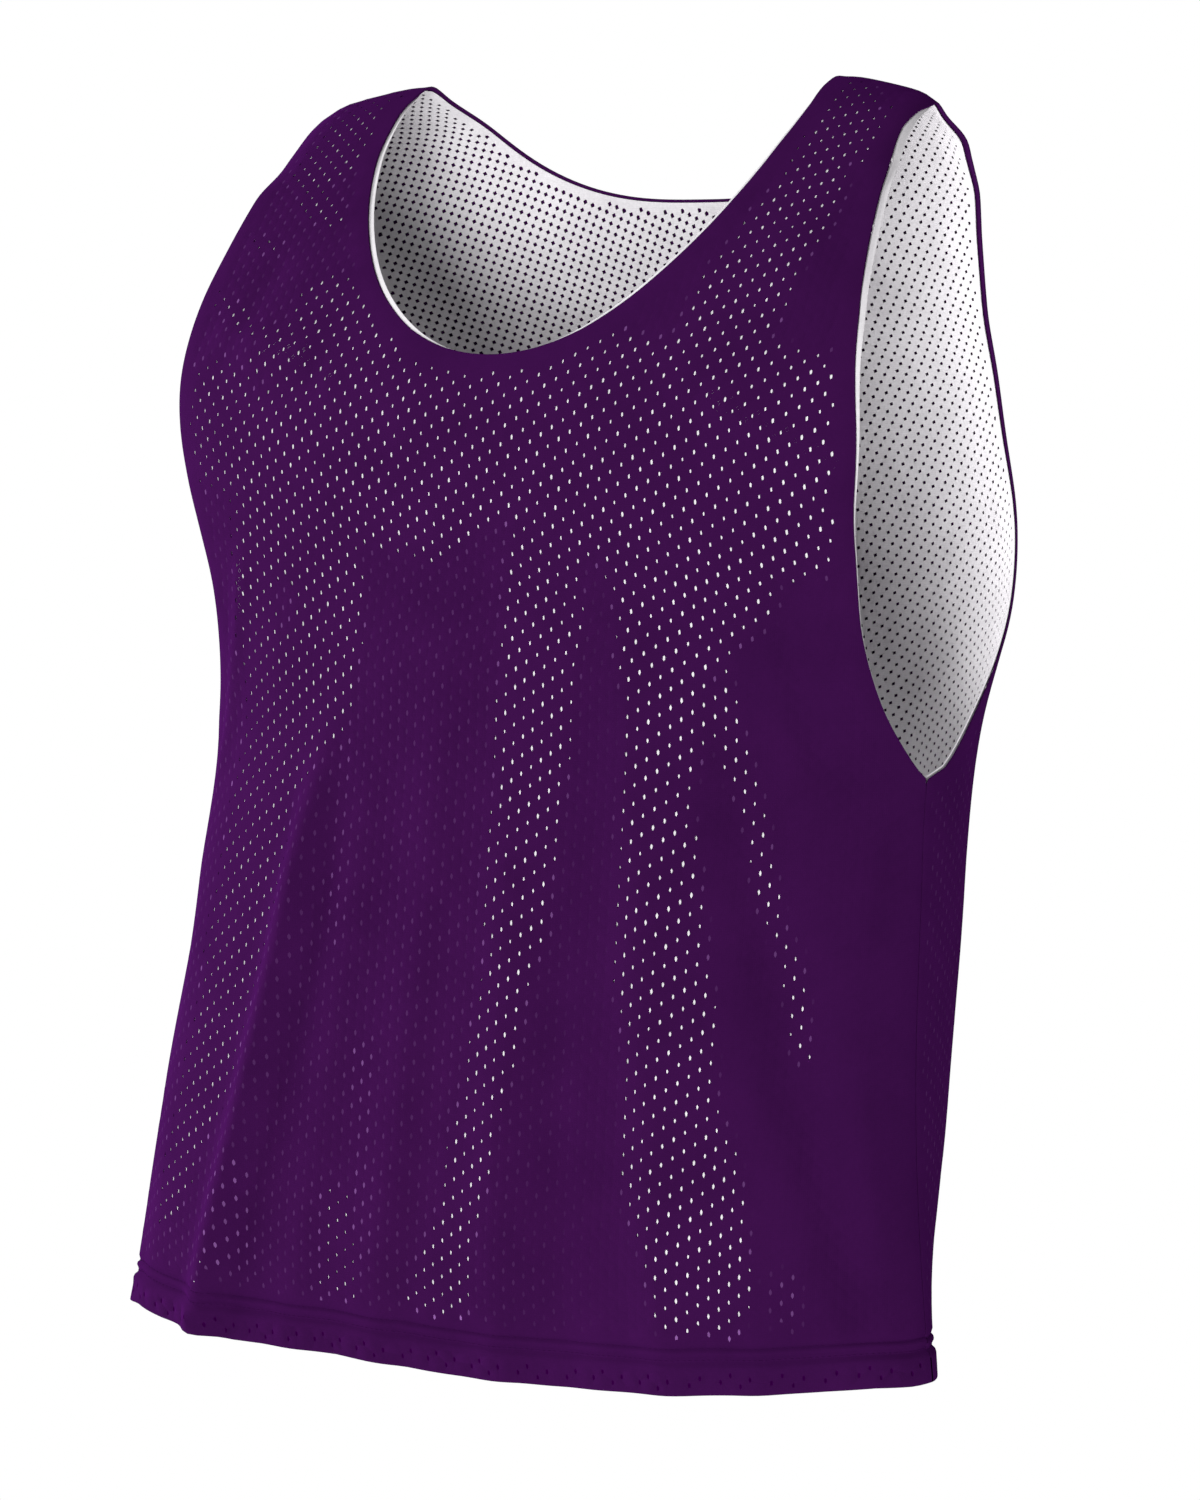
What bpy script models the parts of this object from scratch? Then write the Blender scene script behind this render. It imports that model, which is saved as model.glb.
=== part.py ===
"""Reversible lacrosse jersey: a purple mesh shell and a white mesh shell, sewn together.

The jersey keeps the form of a wearer's body with nobody in it. Millimetres in the tables,
metres in the scene. +Z is up, the front faces -Y, and +X is the wearer's left.
The origin is the middle between the straps, level with where they rest on the shoulders.
"""

import bpy
import bmesh
import numpy as np

NAME = "reversible_lacrosse_jersey"
MM = 0.001

# Cloth thickness and clearances (mm)
WALL = 1.0
HEM_WALL = 2.0
LAYER_GAP = 0.3
SHOULDER_MARGIN = 0.4
SIDE_MARGIN = 0.3
LINING_SIDE_MARGIN = 1.0

# Body sections (mm), from the hem up to the shoulder line:
# below the shoulder, half width, y of the side seam, y of the front, y of the back,
# roundness of the front, roundness of the back
SECTIONS = [
    (620, 223, -104, -152, 4, 3.1, 1.4),
    (585, 218, -101, -157, 18, 2.9, 1.4),
    (500, 209, -93, -152, 46, 2.7, 1.9),
    (400, 202, -77, -142, 80, 2.1, 2.1),
    (315, 202, -66, -134, 97, 1.5, 2.3),
    (255, 215, -59, -133, 111, 1.9, 2.3),
    (200, 229, -58, -141, 105, 2.4, 2.2),
    (150, 236, -58, -137, 92, 2.9, 2.1),
    (112, 237, -58, -118, 76, 3.3, 2.0),
    (78, 237, -58, -93, 63, 3.3, 2.0),
    (48, 237, -58, -67, 57, 3.3, 2.0),
    (24, 237, -58, -43, 44, 3.3, 2.0),
    (7, 237, -58, -20, 17, 3.3, 2.0),
    (0, 237, -58, 0, 0, 2.7, 2.7),
]
SIDE_ROUNDNESS = 2.4

# Shoulder slope and the lift of the hem at the side seams (mm)
SHOULDER_LEVEL = 13.0
SHOULDER_DROP = 18.0
SLOPE_START = 45.0
SLOPE_REACH = 130.0
SLOPE_DEPTH = 220.0
HEM_SIDE_LIFT = 13.0
HEM_LIFT_BELOW = 430.0
HEM_LIFT_REACH = 190.0

# Armhole edge (mm): below the shoulder, half width at the front, half width at the back
UNDERARM_BELOW = 333.0
SHOULDER_HALF = 175.0
ARMHOLE = [
    (300, 188, 198),
    (270, 183, 194),
    (225, 185, 186),
    (175, 191, 174),
    (125, 189, 172),
    (80, 183, 176),
    (45, 178, 177),
    (18, 174, 179),
]

# Neck edge (mm): lowest point below the shoulder, and the two powers of its curve
NECK_HALF = 116.0
NECK = {"front": (138.0, 1.97, 1.77), "back": (62.5, 2.87, 1.50)}
# Depth below the shoulder where the row from the neck's lowest point meets the armhole
ROW_ANCHOR = {"front": 168.0, "back": 138.0}

# Main folds on the flat panels (mm): panel, start across, start up, end across, end up,
# bow to the side, width, height (a trough is negative)
FOLDS = [
    ("front", -120, 325, -180, -10, 4, 13, 8.0),
    ("front", -84, 320, -124, 20, 2, 13, 3.0),
    ("front", -48, 350, -80, 30, 16, 14, 3.0),
    ("front", 12, 320, 18, 0, 2, 14, 3.5),
    ("front", 66, 400, 112, 0, 2, 15, 4.5),
    ("front", 112, 385, 200, 60, -8, 16, -7.0),
    ("front", 146, 385, 166, 300, 0, 11, -4.0),
    ("front", 195, 430, 130, 462, 0, 10, 2.5),
    ("front", -178, 500, -110, 485, 0, 11, 2.5),
    ("front", -172, 462, -105, 472, 0, 11, -2.5),
    ("back", -110, 340, -165, -10, 4, 16, 6.0),
    ("back", -70, 360, -95, 20, 0, 15, -4.0),
    ("back", -22, 330, -34, 0, 3, 16, 4.0),
    ("back", 45, 350, 58, 10, 2, 16, -3.5),
    ("back", 105, 370, 160, 0, -6, 16, 5.5),
    ("back", 150, 330, 215, 60, -4, 16, -4.5),
]
FADE_IN = 0.30
FADE_OUT = 0.25

# Grid of each half panel
HEM_ROWS = [0.0, 10.0, 20.0, 23.0, 30.0]
HEM_BAND_ROWS = 3
LINING_FIRST_ROW = 4
BODY_ROWS = 10
CHEST_ROWS = 5
STRAP_ROWS = 9
EDGE_STRIP = 4.0
COLUMNS = {"front": 13, "back": 11}
PATH_SAMPLES = 241
RING_SAMPLES = 97
PROBE = 0.5

# Colours (linear) and roughness
PURPLE = (0.050, 0.009, 0.072, 1.0)
WHITE = (0.720, 0.715, 0.725, 1.0)
CLOTH_ROUGHNESS = 0.8


def clear_scene():
    """Remove whatever the file starts with."""
    for item in list(bpy.data.objects):
        bpy.data.objects.remove(item, do_unlink=True)


def chord(*coordinates):
    """Running length along a line of points."""
    steps = sum(np.diff(values) ** 2 for values in coordinates)
    return np.append(0.0, np.cumsum(np.sqrt(steps)))


def flow(knots, values, at):
    """Smooth curve through values at knots."""
    at = np.clip(at, knots[0], knots[-1])
    slope = np.gradient(values, knots)
    low = np.clip(np.searchsorted(knots, at, side="right") - 1, 0, len(knots) - 2)
    gap = knots[low + 1] - knots[low]
    u = (at - knots[low]) / gap
    start = (2 * u**3 - 3 * u**2 + 1) * values[low]
    start += (u**3 - 2 * u**2 + u) * gap * slope[low]
    end = (3 * u**2 - 2 * u**3) * values[low + 1]
    end += (u**3 - u**2) * gap * slope[low + 1]
    return start + end


def over_shoulder(own, far):
    """A column from a panel's own hem to the shoulder, then down the other panel."""
    return np.append(own, far[-2::-1]).astype(float)


def panel_curves(side):
    """The section columns as curves along the panel's centre line."""
    rows = np.array(SECTIONS, dtype=float)
    own, far = (3, 4) if side == "front" else (4, 3)
    curves = {
        "height": over_shoulder(-rows[:, 0], -rows[:, 0]),
        "centre": over_shoulder(rows[:, own], rows[:, far]),
        "half": over_shoulder(rows[:, 1], rows[:, 1]),
        "side": over_shoulder(rows[:, 2], rows[:, 2]),
        "round": over_shoulder(rows[:, own + 2], rows[:, far + 2]),
    }
    curves["run"] = chord(curves["height"], curves["centre"])
    curves["ridge"] = curves["run"][len(rows) - 1]
    return curves


def read(curves, column, run):
    """One column's value at lengths along the centre line."""
    return flow(curves["run"], curves[column], run)


def ring_point(curves, angle, run):
    """Point on the body form at a turn from the centre (radians) and a length up."""
    half = read(curves, "half", run)
    height = np.minimum(read(curves, "height", run), 0.0)
    side = read(curves, "side", run)
    centre = read(curves, "centre", run)
    swing = np.abs(np.cos(angle)) ** (2.0 / read(curves, "round", run))
    x = half * np.abs(np.sin(angle)) ** (2.0 / SIDE_ROUNDNESS)
    near_top = np.clip((height + SLOPE_DEPTH) / SLOPE_DEPTH, 0.0, 1.0) ** 2
    slope = (np.clip(x - SLOPE_START, 0.0, None) / SLOPE_REACH) ** 2
    near_hem = np.clip((-HEM_LIFT_BELOW - height) / HEM_LIFT_REACH, 0.0, 1.0)
    z = height + SHOULDER_LEVEL - SHOULDER_DROP * near_top * slope
    z = z + HEM_SIDE_LIFT * near_hem * (x / half) ** 2
    return np.stack([x, side + (centre - side) * swing, z], axis=-1)


def ring_lengths(curves, run):
    """Lengths along the ring from the centre to evenly spaced angles."""
    angles = np.linspace(0.0, np.pi / 2, RING_SAMPLES)
    points = ring_point(curves, angles[None, :], run[:, None])
    steps = np.linalg.norm(np.diff(points, axis=1), axis=2)
    lengths = np.zeros((len(run), RING_SAMPLES))
    lengths[:, 1:] = np.cumsum(steps, axis=1)
    return angles, lengths


def across_at(curves, x, run):
    """Flat distance from the centre to where the form's half width is x."""
    angles, lengths = ring_lengths(curves, run)
    share = np.clip(x / read(curves, "half", run), 0.0, 1.0)
    turned = np.arcsin(share ** (SIDE_ROUNDNESS / 2.0))
    return np.array([np.interp(a, angles, row) for a, row in zip(turned, lengths)])


def angle_at(curves, across, run):
    """Turn from the centre at a flat distance from it."""
    angles, lengths = ring_lengths(curves, run)
    return np.array([np.interp(u, row, angles) for u, row in zip(across, lengths)])


def fold_relief(side, across, up):
    """Height of the folds above the form at flat positions."""
    relief = np.zeros(len(across))
    for panel, across_0, up_0, across_1, up_1, bow, width, height in FOLDS:
        if panel != side:
            continue
        step = np.array([across_1 - across_0, up_1 - up_0], dtype=float)
        length = np.hypot(step[0], step[1])
        along = ((across - across_0) * step[0] + (up - up_0) * step[1]) / length**2
        aside = ((across - across_0) * step[1] - (up - up_0) * step[0]) / length
        inside = np.clip(along, 0.0, 1.0)
        aside = aside + bow * 4.0 * inside * (1.0 - inside)
        fade = smooth(along / FADE_IN) * smooth((1.0 + FADE_OUT - along) / FADE_OUT)
        relief += height * np.exp(-((aside / width) ** 2)) * fade
    return relief


def smooth(value):
    """Soft step from 0 to 1."""
    value = np.clip(value, 0.0, 1.0)
    return value * value * (3.0 - 2.0 * value)


def on_form(side, curves, across, up):
    """Points of a panel laid on the body form, without folds."""
    point = ring_point(curves, angle_at(curves, np.abs(across), up), up)
    point[:, 0] *= np.where(across < 0.0, -1.0, 1.0)
    return point


def out_of(side, laid, curves, across, up):
    """Unit directions out of a laid surface."""
    reach = ring_lengths(curves, up)[1][:, -1] - PROBE
    across = np.clip(across, -reach, reach)
    up = np.maximum(up, PROBE)
    right = laid(side, curves, across + PROBE, up) - laid(side, curves, across - PROBE, up)
    rise = laid(side, curves, across, up + PROBE) - laid(side, curves, across, up - PROBE)
    out = np.cross(right, rise)
    if side == "back":
        out = -out
    return out / np.linalg.norm(out, axis=1)[:, None]


def folded(side, curves, across, up):
    """Points of a panel with its folds."""
    relief = fold_relief(side, across, up)[:, None]
    return on_form(side, curves, across, up) + out_of(side, on_form, curves, across, up) * relief


def laid_panel(side, curves, across, up, sink):
    """Points of a layer of the panel, sunk below the outer face."""
    points = folded(side, curves, across, up)
    return points - out_of(side, folded, curves, across, up) * sink


def run_at(curves, height, far=False):
    """Length along the centre line at a height, on the panel or beyond the shoulder."""
    start, end = (curves["ridge"], curves["run"][-1]) if far else (0.0, curves["ridge"])
    runs = np.linspace(start, end, PATH_SAMPLES)
    heights = np.minimum(read(curves, "height", runs), 0.0)
    if far:
        return np.interp(height, heights[::-1], runs[::-1])
    return np.interp(height, heights, runs)


def armhole_path(side, curves, anchor_rows, strap_rows):
    """Half widths and lengths up along the armhole, underarm to shoulder."""
    rows = np.array(ARMHOLE, dtype=float)
    own, far = (1, 2) if side == "front" else (2, 1)
    bottom = run_at(curves, -UNDERARM_BELOW)
    half = read(curves, "half", bottom)
    x = np.concatenate([[half], rows[:, own], [SHOULDER_HALF], rows[::-1, far]])
    run = np.concatenate([
        [bottom],
        run_at(curves, -rows[:, 0]),
        [curves["ridge"]],
        run_at(curves, -rows[::-1, 0], far=True),
    ])
    length = chord(x, run)
    top = length[len(rows) + 1]
    fine = np.linspace(0.0, top, PATH_SAMPLES)
    fine_run = flow(length, run, fine)
    anchor = np.interp(run_at(curves, -ROW_ANCHOR[side]), fine_run, fine)
    lower = np.linspace(0.0, anchor, anchor_rows + 1)[:-1]
    spots = np.append(lower, strap_spots(anchor, top, strap_rows))
    return flow(length, x, spots), np.minimum(flow(length, run, spots), curves["ridge"])


def strap_spots(start, end, rows):
    """Even spots along a strap's edge, with a narrow last row at the shoulder."""
    return np.append(np.linspace(start, end - EDGE_STRIP, rows), end)


def neck_path(side, curves, rows):
    """Half widths and lengths up along the neck edge, middle to shoulder."""
    lowest, power_x, power_z = NECK[side]
    turn = np.linspace(0.0, np.pi / 2, PATH_SAMPLES)
    x = NECK_HALF * np.sin(turn) ** (2.0 / power_x)
    height = -lowest * np.abs(np.cos(turn)) ** (2.0 / power_z)
    run = run_at(curves, height)
    length = chord(x, run)
    spots = strap_spots(0.0, length[-1], rows)
    up = np.interp(spots, length, run)
    up[-1] = curves["ridge"]
    return np.interp(spots, length, x), up


def panel_rows(side, curves):
    """Flat positions of the inner and outer end of each row, hem to shoulder."""
    arm_x, arm_up = armhole_path(side, curves, CHEST_ROWS, STRAP_ROWS)
    neck_x, neck_up = neck_path(side, curves, STRAP_ROWS)
    body = np.linspace(HEM_ROWS[-1], arm_up[0], BODY_ROWS + 1)[1:-1]
    low_up = np.concatenate([HEM_ROWS, body])
    chest_up = np.linspace(arm_up[0], neck_up[0], CHEST_ROWS + 1)[:-1]
    in_up = np.concatenate([low_up, chest_up, neck_up])
    out_up = np.concatenate([low_up, arm_up])
    in_x = np.concatenate([np.zeros(len(low_up) + CHEST_ROWS), neck_x])
    out_x = np.concatenate([read(curves, "half", low_up), arm_x])
    return across_at(curves, in_x, in_up), in_up, across_at(curves, out_x, out_up), out_up


def half_panel(side, curves, lining):
    """Flat grid of half a panel: distances across and up, row by column."""
    in_across, in_up, out_across, out_up = panel_rows(side, curves)
    body = len(HEM_ROWS) + BODY_ROWS
    out_across[:body] -= SIDE_MARGIN
    in_up[-1] -= SHOULDER_MARGIN
    out_up[-1] -= SHOULDER_MARGIN
    width = (out_across - in_across)[:, None]
    share = np.linspace(0.0, 1.0, COLUMNS[side] + 1)[None, :] * (width - EDGE_STRIP) / width
    share = np.hstack([share, np.ones((len(width), 1))])
    across = in_across[:, None] + width * share
    up = in_up[:, None] + (out_up - in_up)[:, None] * share
    if not lining:
        return across, up
    across[:body, -1] -= LINING_SIDE_MARGIN - SIDE_MARGIN
    return across[LINING_FIRST_ROW:], up[LINING_FIRST_ROW:]


def add_half(mesh, side, curves, grid, hand, sink):
    """Add half a panel to a mesh, on the wearer's left (1) or right (-1)."""
    across, up = grid
    rows, columns = across.shape
    laid = laid_panel(side, curves, hand * across.ravel(), up.ravel(), sink)
    laid = laid.reshape(rows, columns, 3) * MM
    hem = mesh.verts.layers.deform.verify()
    made = bmesh.ops.create_grid(mesh, x_segments=columns - 1, y_segments=rows - 1, size=0.5)
    verts = made["verts"]
    for vert in verts:
        row = round((vert.co.y + 0.5) * (rows - 1))
        column = round((vert.co.x + 0.5) * (columns - 1))
        vert.co = laid[row, column]
        if sink == 0.0 and row < HEM_BAND_ROWS:
            vert[hem][0] = 1.0
    if (hand > 0) == (side == "back"):
        faces = list({face for vert in verts for face in vert.link_faces})
        bmesh.ops.reverse_faces(mesh, faces=faces)


def cloth_material(name, colour):
    """Plain woven look of one side of the jersey."""
    material = bpy.data.materials.new(name)
    material.use_nodes = True
    shader = material.node_tree.nodes["Principled BSDF"]
    shader.inputs["Base Color"].default_value = colour
    shader.inputs["Roughness"].default_value = CLOTH_ROUGHNESS
    shader.inputs["Metallic"].default_value = 0.0
    material.diffuse_color = colour
    return material


def add_panel(collection, side, layer, material):
    """One sewn panel of cloth: an open sheet given its wall inwards."""
    curves = panel_curves(side)
    lining = layer == "lining"
    sink = WALL + LAYER_GAP if lining else 0.0
    grid = half_panel(side, curves, lining)
    mesh = bmesh.new()
    for hand in (1, -1):
        add_half(mesh, side, curves, grid, hand, sink)
    bmesh.ops.remove_doubles(mesh, verts=mesh.verts, dist=0.01 * MM)
    data = bpy.data.meshes.new(f"{side}_{layer}")
    mesh.to_mesh(data)
    mesh.free()
    panel = bpy.data.objects.new(f"{side}_{layer}", data)
    panel.vertex_groups.new(name="hem")
    data.materials.append(material)
    data.shade_smooth()
    collection.objects.link(panel)
    add_wall(panel, lining)
    return panel


def add_wall(panel, lining):
    """Give a sheet its cloth wall; the outer panels are doubled along the hem."""
    wall = panel.modifiers.new("Wall", "SOLIDIFY")
    wall.offset = -1.0
    wall.thickness = WALL * MM
    if lining:
        return
    wall.thickness = HEM_WALL * MM
    wall.vertex_group = "hem"
    wall.thickness_vertex_group = WALL / HEM_WALL


def main():
    """Build the four panels."""
    clear_scene()
    collection = bpy.data.collections.new(NAME)
    bpy.context.scene.collection.children.link(collection)
    purple = cloth_material("purple_mesh", PURPLE)
    white = cloth_material("white_mesh", WHITE)
    for side in ("front", "back"):
        add_panel(collection, side, "outer", purple)
        add_panel(collection, side, "lining", white)


main()
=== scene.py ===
"""Looks of a reversible lacrosse jersey: a purple and a white shell of holed mesh cloth.

Both shells are laid on the worn form and sewn edge to edge. Positions on a flat panel are in
millimetres: `across` from the middle line, positive to the wearer's left, and `up` along the
middle line from the hem's fold. The scene is in metres, +Z up, with the front facing -Y.
"""

import logging
import math
from dataclasses import dataclass
from enum import Enum
from typing import NamedTuple

import bmesh
import bpy
import numpy as np
from bmesh.types import BMEdge, BMesh, BMFace, BMVert
from bpy.types import ID, Material, Mesh, Node, NodeSocket, NodeTree, Object
from mathutils import Matrix, Vector, kdtree
from mathutils.geometry import delaunay_2d_cdt


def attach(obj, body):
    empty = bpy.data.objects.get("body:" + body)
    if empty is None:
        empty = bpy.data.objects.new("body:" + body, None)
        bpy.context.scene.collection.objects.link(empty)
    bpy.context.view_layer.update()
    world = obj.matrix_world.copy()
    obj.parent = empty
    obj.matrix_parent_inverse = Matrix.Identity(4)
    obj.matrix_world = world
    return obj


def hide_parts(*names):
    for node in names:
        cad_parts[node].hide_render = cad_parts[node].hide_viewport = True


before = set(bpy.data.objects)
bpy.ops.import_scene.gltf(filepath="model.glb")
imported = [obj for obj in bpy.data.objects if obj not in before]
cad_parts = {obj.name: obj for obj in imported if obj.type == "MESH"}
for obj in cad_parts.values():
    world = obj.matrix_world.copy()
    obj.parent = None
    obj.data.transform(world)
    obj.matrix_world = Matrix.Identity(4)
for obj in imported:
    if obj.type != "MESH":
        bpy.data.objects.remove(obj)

LOG = logging.getLogger("jersey")
Array = np.ndarray
MM = 0.001

# Marks of a hole's rim and of the middle of a closed hole, beside the steps of a turned edge
RIM = -1
SUNK = -2

# Distances in millimetres at which two points are one: on the edge, and in the triangles
SAME_PLACE = 0.01
NO_LENGTH = 1e-4

# Triangles are kept inside the outline only, and a grid is read short of its last line
INSIDE_ONLY = 1
JUST_BELOW = 1e-6


class Side(Enum):
    """Which half of the jersey a panel makes."""

    FRONT = "front"
    BACK = "back"


class Layer(Enum):
    """Which shell a panel belongs to."""

    OUTER = "outer"
    LINING = "lining"


class Edge(Enum):
    """The edges of a cut panel."""

    HEM = 0
    SIDE = 1
    ARMHOLE = 2
    SHOULDER = 3
    NECK = 4


class Section(NamedTuple):
    """One level of the worn form, in millimetres."""

    below: float
    half: float
    side: float
    front: float
    back: float
    front_round: float
    back_round: float


class Fold(NamedTuple):
    """A soft ridge, or a trough where the height is negative, on a flat panel."""

    across_0: float
    up_0: float
    across_1: float
    up_1: float
    bow: float
    width: float
    height: float


class Contact(NamedTuple):
    """A stretch of a flat panel where the white shell lies close behind the purple one.

    The line holds lengths across and up, and the half width there. A negative closeness is a
    place where the shells stand apart.
    """

    closeness: float
    line: tuple[tuple[float, float, float], ...]


SECTIONS = tuple(map(Section._make, (
    (620, 223, -104, -152, 4, 3.1, 1.4), (585, 218, -101, -157, 18, 2.9, 1.4),
    (500, 209, -93, -152, 46, 2.7, 1.9), (400, 202, -77, -142, 80, 2.1, 2.1),
    (315, 202, -66, -134, 97, 1.5, 2.3), (255, 215, -59, -133, 111, 1.9, 2.3),
    (200, 229, -58, -141, 105, 2.4, 2.2), (150, 236, -58, -137, 92, 2.9, 2.1),
    (112, 237, -58, -118, 76, 3.3, 2.0), (78, 237, -58, -93, 63, 3.3, 2.0),
    (48, 237, -58, -67, 57, 3.3, 2.0), (24, 237, -58, -43, 44, 3.3, 2.0),
    (7, 237, -58, -20, 17, 3.3, 2.0), (0, 237, -58, 0, 0, 2.7, 2.7),
)))

# Rolls beside the neck and the armholes at the shoulder, the same on both sides
SHOULDER_FOLDS = (
    (-120, 600, -117, 690, 0, 8, -1.2), (120, 600, 117, 690, 0, 8, -1.2),
    (-178, 590, -180, 690, 0, 11, -4.0), (178, 590, 180, 690, 0, 9, -3.2),
)

FOLDS = {
    Side.FRONT: (
        (-94, 320, -159, 10, 5, 10, 9.0), (-64, 320, -100, 20, 2, 12, 1.6),
        (-32, 350, -52, 30, 10, 14, 1.8), (12, 320, 18, 0, 2, 14, 2.4),
        (66, 400, 112, 0, 2, 15, 3.6), (112, 385, 200, 60, -8, 16, -7.0),
        (146, 385, 166, 300, 0, 11, -4.0), (195, 430, 130, 462, 0, 10, 2.5),
        (-178, 500, -110, 485, 0, 11, 2.5), (-172, 462, -105, 472, 0, 11, -2.5),
        # Smaller creases between the main folds
        (-60, 402, 150, 392, -6, 24, 1.8), (182, 322, 128, 288, 4, 8, 1.3),
        (205, 262, 170, 120, 5, 9, 1.4), (216, 200, 224, 30, -3, 8, -1.2),
        (-20, 250, -34, 20, 3, 9, -1.3), (44, 250, 58, 10, -3, 10, -1.5),
        (142, 160, 158, 0, 3, 10, 1.6), (-205, 240, -214, 20, 3, 9, -1.5),
        (-140, 560, -168, 470, 5, 9, -1.4), (128, 560, 172, 520, 4, 12, 1.2),
        (-60, 458, 10, 440, -5, 14, 1.0), (-148, 402, -188, 288, 0, 6, 2.0),
    ),
    Side.BACK: (
        (-110, 340, -165, -10, 4, 16, 6.0), (-70, 360, -95, 20, 0, 15, -4.0),
        (-22, 330, -34, 0, 3, 16, 4.0), (45, 350, 58, 10, 2, 16, -3.5),
        (105, 370, 160, 0, -6, 16, 5.5), (150, 330, 215, 60, -4, 16, -4.5),
        # Smaller creases between the main folds
        (-190, 300, -215, 30, 4, 10, -1.6), (-46, 300, -62, 20, -3, 9, 1.4),
        (18, 290, 10, 0, 3, 10, -1.4), (84, 240, 104, 10, 4, 9, -1.5),
        (228, 280, 236, 40, -4, 10, 1.5), (-130, 480, 130, 492, 8, 26, 1.6),
        (-190, 400, -120, 430, 3, 12, 1.5), (196, 392, 130, 428, -3, 12, 1.5),
    ),
}

CONTACTS = {
    Side.FRONT: (
        (1.0, (
            (-150, 448, 40), (-100, 452, 52), (-40, 432, 48), (20, 442, 40), (80, 440, 60),
            (150, 436, 58),
        )),
        (1.0, ((-102, 508, 24), (-70, 480, 26))),
        (0.9, ((-176, 520, 9), (-150, 502, 10), (-118, 490, 13))),
        (0.7, ((-176, 472, 12), (-176, 425, 12))),
        (1.0, ((170, 470, 22), (172, 400, 22))),
        (1.0, ((120, 495, 27), (134, 560, 26), (140, 585, 22))),
        (0.9, ((138, 590, 19), (135, 656, 20))),
        (0.7, ((162, 612, 10), (162, 646, 10))),
        (1.0, ((-141, 610, 23), (-138, 656, 20))),
        (1.0, ((-144, 584, 10), (-120, 566, 11))),
        (0.7, ((-161, 556, 9), (-152, 552, 9))),
        (1.0, (
            (-118, 380, 48), (-120, 330, 46), (-135, 300, 36), (-147, 270, 28), (-147, 220, 30),
            (-156, 175, 26), (-160, 150, 26), (-169, 120, 24), (-177, 100, 20), (-184, 75, 16),
            (-191, 54, 11),
        )),
        (1.0, (
            (36, 402, 24), (28, 350, 24), (26, 300, 24), (24, 250, 23), (20, 200, 17),
            (15, 175, 15), (10, 150, 17), (1, 100, 16), (-3, 75, 17), (-14, 34, 20),
        )),
        (1.0, (
            (104, 375, 44), (95, 345, 30), (96, 325, 24), (93, 278, 18), (95, 228, 25),
            (104, 175, 26), (111, 125, 29), (118, 95, 31), (129, 52, 29), (129, 36, 22),
        )),
        (0.9, (
            (118, 360, 9), (122, 312, 8), (136, 275, 9), (146, 245, 8), (160, 200, 8),
            (172, 162, 6),
        )),
        (0.42, ((-138, 82, 14), (-136, 46, 17))),
        (0.5, ((-72, 78, 14), (-74, 34, 18))),
        (0.36, ((-60, 150, 10), (-58, 60, 10))),
        (0.4, ((170, 50, 11), (172, 36, 11))),
        (0.3, ((-84, 310, 9), (-84, 205, 8))),
        (-0.9, ((-128, 366, 11), (-128, 354, 9))),
        (-0.85, ((-152, 484, 6), (-136, 470, 7))),
        (-0.5, ((-164, 448, 8), (-156, 434, 7))),
        (-0.6, ((184, 468, 4), (200, 466, 4))),
        (-0.6, ((180, 446, 3), (200, 442, 4))),
    ),
    Side.BACK: (
        (1.0, ((-180, 440, 34), (-110, 446, 42), (-40, 444, 42), (14, 440, 38))),
        (0.9, ((136, 646, 14), (138, 656, 13))),
        (1.0, (
            (-150, 440, 44), (-168, 400, 38), (-186, 320, 30), (-200, 220, 28), (-214, 120, 20),
            (-222, 60, 13),
        )),
        (1.0, (
            (-26, 440, 34), (-38, 380, 26), (-46, 300, 24), (-44, 200, 17), (-36, 110, 19),
            (-40, 42, 22),
        )),
        (1.0, (
            (16, 430, 34), (34, 370, 24), (62, 300, 19), (92, 230, 24), (118, 120, 28),
            (134, 44, 26),
        )),
        (0.9, ((184, 270, 9), (208, 210, 14), (224, 90, 12))),
        (0.4, ((-120, 84, 14), (-114, 36, 16))),
        (0.35, ((40, 160, 8), (46, 60, 9))),
    ),
}

# How far the front hem's fold stands above its level line, by the length across (mm)
HEM_RISE = (
    (-231, 0.0), (-213, 2.4), (-190, 0.9), (-140, 0.0), (-120, 1.5), (-90, 2.8), (-75, 3.3),
    (-45, 2.4), (-10, 1.5), (30, 1.4), (60, 0.5), (150, 0.3), (190, 1.4), (212, 1.3), (231, 0.0),
)

# How far the white shell stands past the purple one, by the length up each open edge (mm);
# it is negative where the purple shell stands past the white one
OVERHANG = {
    (Side.FRONT, Edge.ARMHOLE): (
        (290, 0.7), (340, 0.7), (400, 1.0), (450, 2.0), (500, 3.0), (560, 4.0), (640, 4.5),
        (660, 2.4), (672, -0.6), (680, -2.0),
    ),
    (Side.BACK, Edge.ARMHOLE): (
        (300, 1.5), (370, 1.5), (410, 0.8), (450, -0.8), (500, -2.0), (640, -2.4), (678, -2.0),
    ),
    (Side.FRONT, Edge.NECK): (
        (485, 0.3), (490, 1.2), (500, 2.4), (520, 3.0), (600, 2.8), (645, 1.8), (660, 0.2),
        (671, -1.8), (680, -3.0),
    ),
    (Side.BACK, Edge.NECK): ((574, -1.0), (640, -1.1), (662, -1.2), (674, -2.4)),
}

# From this length across on, the faint painted light in closed holes, standing in for the lit
# shell behind them, has faded out (mm)
PLAIN_FROM = {Side.FRONT: 100.0, Side.BACK: 400.0}

# Factors that turn a hole's place into a chance from 0 to 1
CHANCE = (12.9898, 78.233, 311.7)


def chord(*coordinates: Array) -> Array:
    """Running length along a line of points.

    Args:
        coordinates: one array for each axis.
    Returns:
        The length from the first point to each point.
    """
    steps = sum(np.diff(values) ** 2 for values in coordinates)
    return np.append(0.0, np.cumsum(np.sqrt(steps)))


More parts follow.
